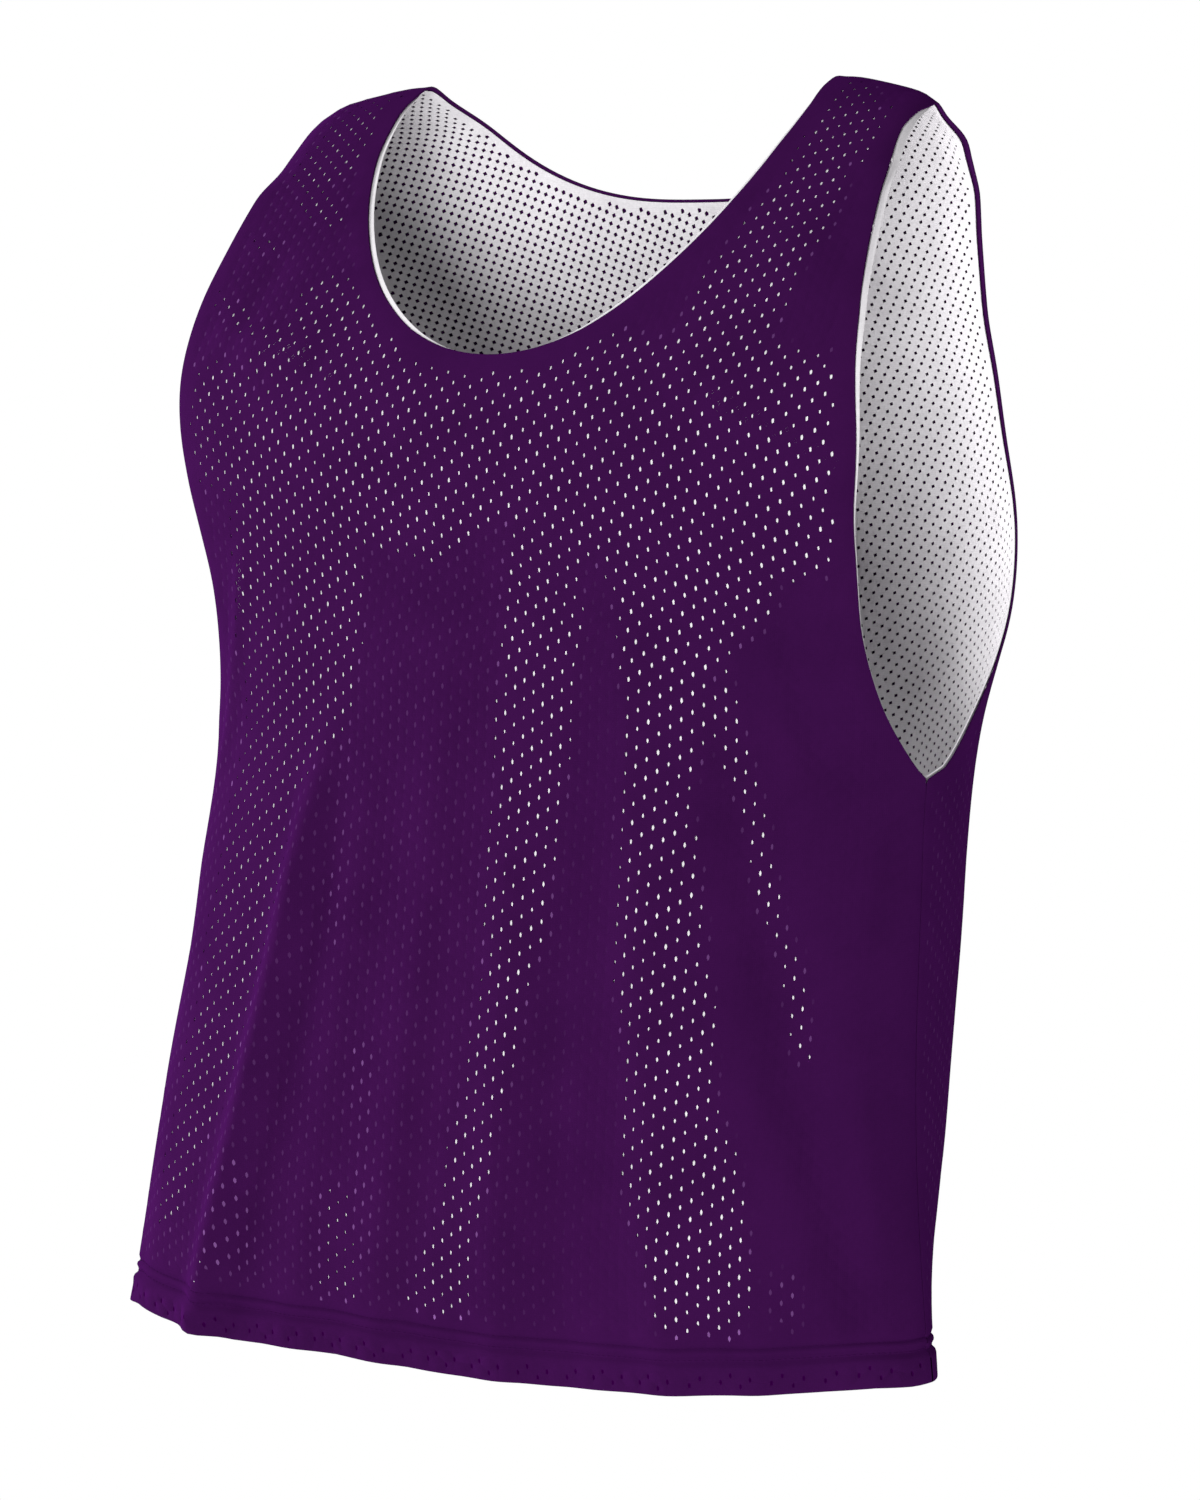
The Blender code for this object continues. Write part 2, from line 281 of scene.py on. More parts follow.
def flow(knots: Array, values: Array, at: Array) -> Array:
    """Smooth curve through values at knots.

    Args:
        knots: rising places where the values are known.
        values: the curve's values there.
        at: places where it is read.
    Returns:
        The curve's values at those places.
    """
    at = np.clip(at, knots[0], knots[-1])
    slope = np.gradient(values, knots)
    low = np.clip(np.searchsorted(knots, at, side="right") - 1, 0, len(knots) - 2)
    gap = knots[low + 1] - knots[low]
    u = (at - knots[low]) / gap
    start = (2 * u**3 - 3 * u**2 + 1) * values[low]
    start += (u**3 - 2 * u**2 + u) * gap * slope[low]
    end = (3 * u**2 - 2 * u**3) * values[low + 1]
    end += (u**3 - u**2) * gap * slope[low + 1]
    return start + end


def soft_step(value: Array) -> Array:
    """Soft step from 0 to 1."""
    value = np.clip(value, 0.0, 1.0)
    return value * value * (3.0 - 2.0 * value)


def unit(vectors: Array) -> Array:
    """Vectors of length one in the same directions."""
    return vectors / np.linalg.norm(vectors, axis=-1, keepdims=True)


def ragged(across: Array, up: Array) -> Array:
    """How far an edge strays at flat positions in long and short waves, in millimetres."""
    long_waves = 2.5 * np.sin(across / 13.0 + up / 31.0) * np.sin(up / 17.0 - across / 41.0)
    return long_waves + 1.5 * np.sin(across / 7.0 - up / 19.0)


def pairs(across: Array, up: Array | float) -> Array:
    """Flat positions from lengths across and lengths up, or one length up for all."""
    return np.stack(np.broadcast_arrays(across, up), axis=1)


def evenly(start: float, end: float, spacing: float) -> Array:
    """Places from start to end, both included, about one spacing apart."""
    return np.linspace(start, end, round(abs(end - start) / spacing) + 1)


def written(mesh: BMesh, name: str) -> Mesh:
    """Mesh data from a mesh under construction, which is freed.

    Args:
        mesh: the mesh under construction.
        name: the name of the data.
    Returns:
        The mesh data.
    """
    data = bpy.data.meshes.new(name)
    mesh.to_mesh(data)
    mesh.free()
    return data


def add_object(name: str, data: ID) -> Object:
    """A new object of the scene.

    Args:
        name: the object's name.
        data: its mesh, camera or lamp.
    Returns:
        The object.
    """
    made = bpy.data.objects.new(name, data)
    bpy.context.scene.collection.objects.link(made)
    return made


def join(tree: NodeTree, node: Node, inputs: dict[str | int, object]) -> None:
    """Give a node's inputs their values.

    Args:
        tree: the nodes of the material or the world.
        node: the node that takes them.
        inputs: a value, or the output of another node, for each input's name or number.
    """
    for key, value in inputs.items():
        if isinstance(value, NodeSocket):
            tree.links.new(value, node.inputs[key])
        else:
            node.inputs[key].default_value = value


def add_node(tree: NodeTree, kind: str, inputs: dict[str | int, object],
             **settings: str) -> Node:
    """Add a shader node.

    Args:
        tree: the nodes of the material or the world.
        kind: the node's type, without what all types begin with.
        inputs: a value, or the output of another node, for each input's name or number.
        settings: the node's own properties.
    Returns:
        The new node.
    """
    node = tree.nodes.new("ShaderNode" + kind)
    for name, value in settings.items():
        setattr(node, name, value)
    join(tree, node, inputs)
    return node


@dataclass
class WornForm:
    """The form that the body gives the jersey, read along one panel's middle line."""

    side: Side
    side_roundness: float = 2.4
    shoulder_level: float = 13.0
    shoulder_drop: float = 18.0
    slope_start: float = 45.0
    slope_reach: float = 130.0
    slope_depth: float = 220.0
    hem_side_lift: float = 13.0
    hem_lift_below: float = 430.0
    hem_lift_reach: float = 190.0
    samples: int = 361

    def __post_init__(self) -> None:
        """Lay the sections' columns along the middle line, over the shoulder and down again."""
        level = Section(*np.array(SECTIONS, dtype=float).T)
        own, far = level.front, level.back
        own_round, far_round = level.front_round, level.back_round
        if self.side is Side.BACK:
            own, far, own_round, far_round = far, own, far_round, own_round

        def over_shoulder(near: Array, beyond: Array) -> Array:
            """A column up this panel and down the other one."""
            return np.append(near, beyond[-2::-1])

        self.columns = {
            "height": over_shoulder(-level.below, -level.below),
            "centre": over_shoulder(own, far),
            "half": over_shoulder(level.half, level.half),
            "side": over_shoulder(level.side, level.side),
            "round": over_shoulder(own_round, far_round),
        }
        self.run = chord(self.columns["height"], self.columns["centre"])
        self.ridge = float(self.run[len(SECTIONS) - 1])

    def read(self, column: str, run: Array) -> Array:
        """One column's value at lengths along the middle line."""
        return flow(self.run, self.columns[column], run)

    def ring(self, angle: Array, run: Array) -> Array:
        """Points on the form.

        Args:
            angle: turn from the middle line towards the wearer's left, in radians.
            run: length up the middle line.
        Returns:
            Points, with x, y and z on the last axis.
        """
        half = self.read("half", run)
        height = np.minimum(self.read("height", run), 0.0)
        side = self.read("side", run)
        swing = np.abs(np.cos(angle)) ** (2.0 / self.read("round", run))
        x = half * np.abs(np.sin(angle)) ** (2.0 / self.side_roundness)
        near_top = np.clip((height + self.slope_depth) / self.slope_depth, 0.0, 1.0) ** 2
        slope = (np.clip(x - self.slope_start, 0.0, None) / self.slope_reach) ** 2
        near_hem = np.clip((-self.hem_lift_below - height) / self.hem_lift_reach, 0.0, 1.0)
        z = height + self.shoulder_level - self.shoulder_drop * near_top * slope
        z = z + self.hem_side_lift * near_hem * (x / half) ** 2
        return np.stack([x, side + (self.read("centre", run) - side) * swing, z], axis=-1)

    def ring_lengths(self, run: Array) -> tuple[Array, Array, Array]:
        """Angles, points and lengths round from the middle line, one row for each run.

        Args:
            run: lengths up the middle line.
        Returns:
            The angles, and the points and lengths at each angle of each ring.
        """
        angles = np.linspace(0.0, np.pi / 2, self.samples)
        points = self.ring(angles[None, :], run[:, None])
        steps = np.linalg.norm(np.diff(points, axis=1), axis=2)
        lengths = np.zeros(points.shape[:2])
        lengths[:, 1:] = np.cumsum(steps, axis=1)
        return angles, points, lengths

    def across_at(self, x: Array, run: Array) -> Array:
        """Flat distance from the middle line to where the form's half width is x.

        Args:
            x: half widths seen from the front.
            run: the length up the middle line of each.
        Returns:
            The flat distances.
        """
        angles, _, lengths = self.ring_lengths(run)
        share = np.clip(x / self.read("half", run), 0.0, 1.0)
        turned = np.arcsin(share ** (self.side_roundness / 2.0))
        return np.array([np.interp(a, angles, row) for a, row in zip(turned, lengths)])

    def run_at(self, height: Array, far: bool = False) -> Array:
        """Length up the middle line at a height, on this panel or beyond the shoulder.

        Args:
            height: heights, 0 at the ridge and negative below.
            far: whether they are read on the other panel.
        Returns:
            The lengths up the middle line.
        """
        start, end = (self.ridge, self.run[-1]) if far else (0.0, self.ridge)
        runs = np.linspace(start, end, self.samples)
        heights = np.minimum(self.read("height", runs), 0.0)
        if far:
            return np.interp(height, heights[::-1], runs[::-1])
        return np.interp(height, heights, runs)


@dataclass
class LaidMap:
    """Where every flat position of a panel lies on the worn form, folds included."""

    form: WornForm
    rows: int = 343
    half_columns: int = 121
    past_ridge: float = 6.0
    fade_in: float = 0.30
    fade_out: float = 0.25
    hem_rise_reach: float = 90.0

    def __post_init__(self) -> None:
        """Lay a fine grid on the form and raise its folds."""
        self.up = np.linspace(0.0, self.form.ridge + self.past_ridge, self.rows)
        _, ring, lengths = self.form.ring_lengths(self.up)
        self.reach = lengths[:, -1]
        share = np.linspace(0.0, 1.0, self.half_columns)
        half = np.zeros((self.rows, self.half_columns, 3))
        for row in range(self.rows):
            at = share * self.reach[row]
            for axis in range(3):
                half[row, :, axis] = np.interp(at, lengths[row], ring[row, :, axis])
        mirrored = half[:, :0:-1] * np.array([-1.0, 1.0, 1.0])
        bare = np.concatenate([mirrored, half], axis=1)
        across = np.linspace(-1.0, 1.0, bare.shape[1])[None, :] * self.reach[:, None]
        relief = self.relief(across, np.broadcast_to(self.up[:, None], across.shape))
        self.points = bare + self.outward(bare) * relief[..., None]
        self.outs = self.outward(self.points)

    def outward(self, points: Array) -> Array:
        """Unit directions out of a grid of points."""
        out = np.cross(np.gradient(points, axis=1), np.gradient(points, axis=0))
        return unit(-out if self.form.side is Side.BACK else out)

    def relief(self, across: Array, up: Array) -> Array:
        """Height of the folds and creases above the form, in millimetres.

        Args:
            across: flat distances from the middle line.
            up: flat lengths up.
        Returns:
            The height at each position.
        """
        relief = np.zeros(across.shape)
        for fold in map(Fold._make, FOLDS[self.form.side] + SHOULDER_FOLDS):
            step = np.array([fold.across_1 - fold.across_0, fold.up_1 - fold.up_0], dtype=float)
            length = np.hypot(step[0], step[1])
            away = across - fold.across_0, up - fold.up_0
            along = (away[0] * step[0] + away[1] * step[1]) / length**2
            aside = (away[0] * step[1] - away[1] * step[0]) / length
            inside = np.clip(along, 0.0, 1.0)
            aside = aside + fold.bow * 4.0 * inside * (1.0 - inside)
            fade = soft_step(along / self.fade_in)
            fade = fade * soft_step((1.0 + self.fade_out - along) / self.fade_out)
            relief += fold.height * np.exp(-((aside / fold.width) ** 2)) * fade
        return relief

    def half_width(self, up: Array | float) -> Array | float:
        """Flat distance from the middle line to the panel's side at lengths up."""
        return np.interp(up, self.up, self.reach)

    def spot(self, across: Array, up: Array) -> tuple[Array, Array]:
        """The point and the outward direction at flat positions, in millimetres.

        Args:
            across: flat distances from the middle line.
            up: flat lengths up.
        Returns:
            The points and the unit directions.
        """
        reach = self.half_width(up)
        last_row, last_column = self.points.shape[0] - 1, self.points.shape[1] - 1
        row = np.clip(up / self.up[-1] * last_row, 0.0, last_row - JUST_BELOW)
        column = np.clip((across / reach + 1.0) / 2.0 * last_column, 0.0, last_column - JUST_BELOW)
        low_row, low_column = row.astype(int), column.astype(int)
        rise, run = (row - low_row)[:, None], (column - low_column)[:, None]

        def between(grid: Array) -> Array:
            """A grid's value between its four nearest points.

            Args:
                grid: values at the grid's points.
            Returns:
                The values at the flat positions.
            """
            near = grid[low_row, low_column] * (1 - run) + grid[low_row, low_column + 1] * run
            far = grid[low_row + 1, low_column] * (1 - run)
            far = far + grid[low_row + 1, low_column + 1] * run
            return near * (1 - rise) + far * rise

        point, out = between(self.points), unit(between(self.outs))
        if self.form.side is Side.FRONT:
            near_hem = soft_step(1.0 - up / self.hem_rise_reach)
            point[:, 2] += np.interp(across, *np.array(HEM_RISE).T) * near_hem
        return point, out


@dataclass(frozen=True)
class MeshCloth:
    """Holed cloth as it is cut, in millimetres.

    The holes stand in a lattice with the steps `along` and `rise`, moved by `shift`. The
    lattice leans to the wearer's left by `lean` for each millimetre between the `leaning`
    heights, and is drawn out sideways by `widening` beyond the `widened` distance. A hole has
    four corners where `four_corners` is set, and six elsewhere.
    """

    along: tuple[float, float]
    rise: tuple[float, float]
    shift: tuple[float, float]
    hole_half_height: float
    hole_slimness: float
    four_corners: bool
    rim: float = 0.3
    lean: float = 0.0
    leaning: tuple[float, float] = (335.0, 505.0)
    widening: float = 0.0
    widened: float = 70.0
    plain_at_opening: float = 9.0
    plain_at_seam: float = 6.0
    clear_of_edge: float = 3.2
    table_half: float = 400.0
    table_rows: int = 1601
    spare_steps: int = 20

    def _leaned(self, up: Array) -> Array:
        """How far the lattice has leant over at lengths up."""
        return self.lean * (np.clip(up, *self.leaning) - self.leaning[0])

    def drawn_out(self, points: Array) -> Array:
        """Points of the even lattice moved to where the cloth's lean and draw put them.

        Args:
            points: flat positions in the even lattice.
        Returns:
            The flat positions on the cloth.
        """
        across = points[:, 0]
        past = np.clip(across, 0.0, self.widened) ** 2 / (2.0 * self.widened)
        past = past + np.maximum(across - self.widened, 0.0)
        return pairs(across + self.widening * past + self._leaned(points[:, 1]), points[:, 1])

    def counted(self, points: Array) -> Array:
        """Each drawn-out point's whole number of steps along and up the even lattice.

        Args:
            points: flat positions on the cloth.
        Returns:
            The steps along and up, one pair for each point.
        """
        even = np.linspace(-self.table_half, self.table_half, self.table_rows)
        drawn = self.drawn_out(pairs(even, 0.0))[:, 0]
        across = np.interp(points[:, 0] - self._leaned(points[:, 1]), drawn, even)
        back = pairs(across, points[:, 1]) - self.shift
        return np.rint(back @ np.linalg.inv(np.array([self.along, self.rise])))

    def lattice(self, low: Array, high: Array) -> Array:
        """The lattice's points between two corners of a flat box.

        Args:
            low: the box's corner with the lowest lengths across and up.
            high: the corner opposite.
        Returns:
            The flat positions of the points.
        """
        steps = np.array([self.along, self.rise])
        box = np.array([low, high, (low[0], high[1]), (high[0], low[1])])
        share = (box - self.shift) @ np.linalg.inv(steps)
        first = np.floor(share.min(axis=0)) - self.spare_steps
        last = np.ceil(share.max(axis=0)) + self.spare_steps
        one, two = np.meshgrid(np.arange(first[0], last[0]), np.arange(first[1], last[1]))
        points = self.drawn_out(pairs(one.ravel(), two.ravel()) @ steps + self.shift)
        return points[np.all((points > low) & (points < high), axis=1)]


@dataclass(frozen=True)
class TurnedHem:
    """A hem turned over at a fold and sewn, in millimetres.

    `toward` is -1 for a hem turned into the body and 1 for one turned out of it. `stitched`
    holds the lengths up of the rows of thread, and `relief` pairs of length up and lift.
    """

    fold_up: float
    depth: float
    radius: float
    toward: float
    fold_steps: int
    stitched: tuple[float, ...]
    relief: tuple[tuple[float, float], ...]
    bare_at_fold: float = 2.6
    bare_at_thread: float = 2.4

    def lift(self, up: Array) -> Array:
        """How far the sewn hem stands off the sheet."""
        places, lifts = zip(*self.relief)
        return np.interp(up, places, lifts)

    def _sewn(self) -> list[float]:
        """Lengths up at which the relief changes above the fold."""
        return [place for place, _ in self.relief if place > self.fold_up]

    def rows(self) -> list[float]:
        """Lengths up at which the sheet needs a row of points, the turned part included.

        Returns:
            The lengths up, lowest first.
        """
        arc, steps = np.pi * self.radius, self.fold_steps
        turned = [self.fold_up - arc * step / steps for step in range(steps + 1)]
        return sorted(turned + self._sewn())

    def bare(self, up: Array) -> Array:
        """Where the hem has no holes: in its turned part and along its rows of thread.

        Args:
            up: flat lengths up.
        Returns:
            Whether there are no holes at each length.
        """
        low = min(self._sewn()) - self.bare_at_thread
        high = max(self._sewn()) + self.bare_at_thread
        return (up < self.fold_up + self.bare_at_fold) | ((up > low) & (up < high))


@dataclass
class Outline:
    """The edge of a flat panel, right round against the clock."""

    flat: Array
    edges: list[Edge]
    least_stretch: float = 0.6

    def __post_init__(self) -> None:
        """Find the directions out of the panel."""
        along = unit(np.roll(self.flat, -1, axis=0) - self.flat)
        before = np.roll(along, 1, axis=0)
        mean = unit(along + before)
        stretch = np.sum(mean * along, axis=1)
        self.beyond = np.stack([mean[:, 1], -mean[:, 0]], axis=1)
        self.miter = 1.0 / np.maximum(stretch, self.least_stretch)

    def area(self) -> float:
        """Flat area in square millimetres."""
        ahead = np.roll(self.flat, -1, axis=0)
        return 0.5 * float(np.sum(self.flat[:, 0] * ahead[:, 1] - ahead[:, 0] * self.flat[:, 1]))

    def length(self) -> float:
        """Length right round in millimetres."""
        return float(np.sum(np.linalg.norm(np.roll(self.flat, -1, axis=0) - self.flat, axis=1)))

    def inset(self, by: Array) -> "Outline":
        """The same edge drawn in by a distance at each point."""
        return Outline(self.flat - self.beyond * (by * self.miter)[:, None], self.edges)

    def holds(self, points: Array) -> Array:
        """Which flat points lie inside.

        Args:
            points: flat positions.
        Returns:
            Whether each of them lies inside.
        """
        ahead = np.roll(self.flat, -1, axis=0)
        inside = np.zeros(len(points), dtype=bool)
        for (x0, y0), (x1, y1) in zip(self.flat, ahead):
            crosses = (y0 > points[:, 1]) != (y1 > points[:, 1])
            if y0 != y1:
                at = x0 + (points[:, 1] - y0) * (x1 - x0) / (y1 - y0)
                inside ^= crosses & (points[:, 0] < at)
        return inside

    def tree(self, parts: int) -> kdtree.KDTree:
        """The numbered edge points to search in, with each stretch cut in parts.

        Args:
            parts: the number of points on each stretch.
        Returns:
            The tree, which gives each point the number of its stretch.
        """
        ahead = np.roll(self.flat, -1, axis=0)
        tree = kdtree.KDTree(len(self.flat) * parts)
        for part in range(parts):
            share = part / parts
            for index, place in enumerate(self.flat * (1 - share) + ahead * share):
                tree.insert((*place, 0.0), index)
        tree.balance()
        return tree

    def nearest(self, points: Array, parts: int = 4) -> tuple[Array, Array]:
        """Distance to the edge, and the number of the nearest edge point.

        Args:
            points: flat positions.
            parts: the number of points on each stretch of the edge.
        Returns:
            The distances in millimetres and the numbers.
        """
        tree = self.tree(parts)
        found = [tree.find((x, y, 0.0)) for x, y in points]
        return np.array([f[2] for f in found]), np.array([f[1] for f in found])


@dataclass
class PanelCut:
    """The flat cut of one panel, worked out from the edges' places on the worn form."""

    form: WornForm
    spacing: float = 4.5
    side_margin: float = 0.3
    shoulder_margin: float = 0.4
    underarm_below: float = 333.0
    shoulder_half: float = 175.0
    armhole: tuple[tuple[float, float, float], ...] = (
        (300, 188, 198), (270, 183, 194), (225, 185, 186), (175, 191, 174),
        (125, 189, 172), (80, 183, 176), (45, 178, 177), (18, 174, 179),
    )
    neck_half: float = 116.0
    front_neck: tuple[float, float, float] = (138.0, 1.97, 1.77)
    back_neck: tuple[float, float, float] = (62.5, 2.87, 1.50)
    samples: int = 361

    def armhole_line(self) -> tuple[Array, Array]:
        """Half widths and lengths up along the armhole, underarm to shoulder.

        Returns:
            The half widths seen from the front, and the lengths up.
        """
        form = self.form
        rows = np.array(self.armhole, dtype=float)
        own, far = (1, 2) if form.side is Side.FRONT else (2, 1)
        bottom = form.run_at(np.array([-self.underarm_below]))
        half = form.read("half", bottom)
        x = np.concatenate([half, rows[:, own], [self.shoulder_half], rows[::-1, far]])
        run = np.concatenate([
            bottom,
            form.run_at(-rows[:, 0]),
            [form.ridge],
            form.run_at(-rows[::-1, 0], far=True),
        ])
        length = chord(x, run)
        spots = evenly(0.0, length[len(rows) + 1], self.spacing)
        return flow(length, x, spots), np.minimum(flow(length, run, spots), form.ridge)

    def neck_line(self) -> tuple[Array, Array]:
        """Half widths and lengths up along the neck edge, shoulder to middle.

        Returns:
            The half widths seen from the front, and the lengths up.
        """
        front = self.form.side is Side.FRONT
        lowest, power_x, power_z = self.front_neck if front else self.back_neck
        turn = np.linspace(np.pi / 2, 0.0, self.samples)
        x = self.neck_half * np.sin(turn) ** (2.0 / power_x)
        run = self.form.run_at(-lowest * np.abs(np.cos(turn)) ** (2.0 / power_z))
        length = chord(x, run)
        spots = evenly(0.0, length[-1], self.spacing)
        return np.interp(spots, length, x), np.interp(spots, length, run)

    def outline(self, hem: TurnedHem, laid: LaidMap) -> Outline:
        """The whole edge of the panel, with the turned part of its hem laid flat.

        Args:
            hem: the panel's hem.
            laid: the laid map that gives the panel's half width at each level.
        Returns:
            The outline, from the hem's left corner against the clock.
        """
        form = self.form
        arm_x, arm_up = self.armhole_line()
        neck_x, neck_up = self.neck_line()
        rows = np.array(hem.rows())
        first = hem.fold_up - hem.depth
        low = evenly(first, rows[0], self.spacing)[:-1]
        high = evenly(rows[-1], arm_up[0], self.spacing)[1:-1]
        side_up = np.concatenate([low, rows, high])
        mirrored_up = np.abs(side_up - hem.fold_up) + hem.fold_up
        side = laid.half_width(mirrored_up) - self.side_margin
        top = form.ridge - self.shoulder_margin
        arm = form.across_at(arm_x, arm_up)
        arm[0] -= self.side_margin
        neck = form.across_at(neck_x, neck_up)
        strap = evenly(arm[-1], neck[0], self.spacing)[1:-1]
        right = (
            (Edge.SIDE, side, side_up),
            (Edge.ARMHOLE, arm, np.minimum(arm_up, top)),
            (Edge.SHOULDER, strap, top),
            (Edge.NECK, neck, np.minimum(neck_up, top)),
        )
        flat = np.concatenate([pairs(across, up) for _, across, up in right])
        edges = [edge for edge, across, _ in right for _ in across]
        mirrored = flat[-2::-1] * np.array([-1.0, 1.0])
        bottom = pairs(evenly(-side[0], side[0], self.spacing)[1:-1], first)
        whole = np.concatenate([flat, mirrored, bottom])
        return Outline(whole, edges + edges[-2::-1] + [Edge.HEM] * len(bottom))


@dataclass(frozen=True)
class KnitFinish:
    """Polyester mesh cloth of one colour."""

    name: str
    colour: tuple[float, float, float]
    # Darker end of the colour: for uneven dye and grain, and for painted shade in the hollows
    # between the stitches
    shade: tuple[float, float, float]
    roughness: float
    sheen: float
    sheen_tint: tuple[float, float, float]
    gloss: float
    grain: float
    wale: float = 0.0009
    course: float = 0.0011
    stitch_depth: float = 0.00006
    mottle_scale: float = 22.0
    grain_scale: float = 620.0
    # Colour added for each unit of painted light in a closed hole, standing in for the lit shell
    # behind it; a negative amount gives painted shade
    painted_light: tuple[float, float, float] = (0.039, 0.018, 0.050)
    sheen_roughness: float = 0.45
    bump_strength: float = 0.6
    wave_rate: float = 20.0
    dye_range: tuple[float, float] = (0.35, 0.65)
    shade_range: tuple[float, float] = (0.15, 0.75)
    # Share of painted shade that darkens the hollows between the stitches
    painted_hollow_shade: float = -0.3

    def material(self) -> Material:
        """The cloth's node material, with its knit in the panel's own flat coordinates.

        Returns:
            The material.
        """
        material = bpy.data.materials.new(self.name)
        material.use_nodes = True
        tree = material.node_tree
        flat = add_node(tree, "UVMap", {}, uv_map="flat").outputs["UV"]
        ribs = self._ribs(tree, flat, "X", self.wale), self._ribs(tree, flat, "Y", self.course)
        knit = add_node(tree, "Math", dict(enumerate(ribs)), operation="MULTIPLY").outputs[0]
        bump = add_node(tree, "Bump", {
            "Strength": self.bump_strength, "Distance": self.stitch_depth, "Height": knit,
        })
        join(tree, tree.nodes["Principled BSDF"], {
            "Roughness": self.roughness,
            "Metallic": 0.0,
            "Specular IOR Level": self.gloss,
            "Sheen Weight": self.sheen,
            "Sheen Roughness": self.sheen_roughness,
            "Sheen Tint": (*self.sheen_tint, 1.0),
            "Normal": bump.outputs["Normal"],
            "Base Color": self._colours(tree, knit),
        })
        material.diffuse_color = (*self.colour, 1.0)
        return material

    def _ribs(self, tree: NodeTree, flat: NodeSocket, axis: str, period: float) -> NodeSocket:
        """Fine ribs across the cloth at a real spacing.

        Args:
            tree: the material's nodes.
            flat: the output with flat positions.
            axis: the letter of the axis that the ribs follow on.
            period: the spacing in metres.
        Returns:
            The output with the ribs.
        """
        ribs = add_node(tree, "TexWave", {
            "Scale": 2.0 * math.pi / (self.wave_rate * period), "Distortion": 0.6, "Detail": 1.0,
            "Vector": flat,
        }, wave_type="BANDS", bands_direction=axis)
        return ribs.outputs["Fac"]

    def _colours(self, tree: NodeTree, knit: NodeSocket) -> NodeSocket:
        """Uneven dye and grain, painted shade in the hollows between the stitches, and painted
        light in closed holes standing in for the other shell.

        Args:
            tree: the material's nodes.
            knit: the output with the stitches.
        Returns:
            The output with the colour.
        """
        place = add_node(tree, "TexCoord", {}).outputs["Object"]
        mottle = add_node(tree, "TexNoise", {
            "Scale": self.mottle_scale, "Detail": 6.0, "Roughness": 0.62, "Vector": place,
        })
        spread = add_node(tree, "MapRange", {
            "From Min": self.dye_range[0], "From Max": self.dye_range[1],
            "To Min": self.shade_range[0] - 0.5 * self.grain,
            "To Max": self.shade_range[1] - 0.5 * self.grain,
            "Value": mottle.outputs["Fac"],
        })
        grain = add_node(tree, "TexNoise", {
            "Scale": self.grain_scale, "Detail": 2.0, "Vector": place,
        })
        grained = add_node(tree, "Math", {
            0: grain.outputs["Fac"], 1: self.grain, 2: spread.outputs["Result"],
        }, operation="MULTIPLY_ADD")
        # Painted shade: the colour darkens towards the shade colour in the hollows between the
        # stitches, where the knit is low
        painted_hollows = add_node(tree, "Math", {
            0: knit, 1: self.painted_hollow_shade, 2: grained.outputs[0],
        }, operation="MULTIPLY_ADD")
        ramp = add_node(tree, "ValToRGB", {"Fac": painted_hollows.outputs[0]})
        for element, colour in zip(ramp.color_ramp.elements, (self.colour, self.shade)):
            element.color = (*colour, 1.0)
        # Painted light in closed holes, and painted shade in the hem's closed holes, read from the
        # faces
        closeness = add_node(tree, "Attribute", {}, attribute_name="painted_light")
        lit = add_node(tree, "VectorMath", {
            0: closeness.outputs["Fac"], 1: self.painted_light, 2: ramp.outputs["Color"],
        }, operation="MULTIPLY_ADD")
        return lit.outputs["Vector"]


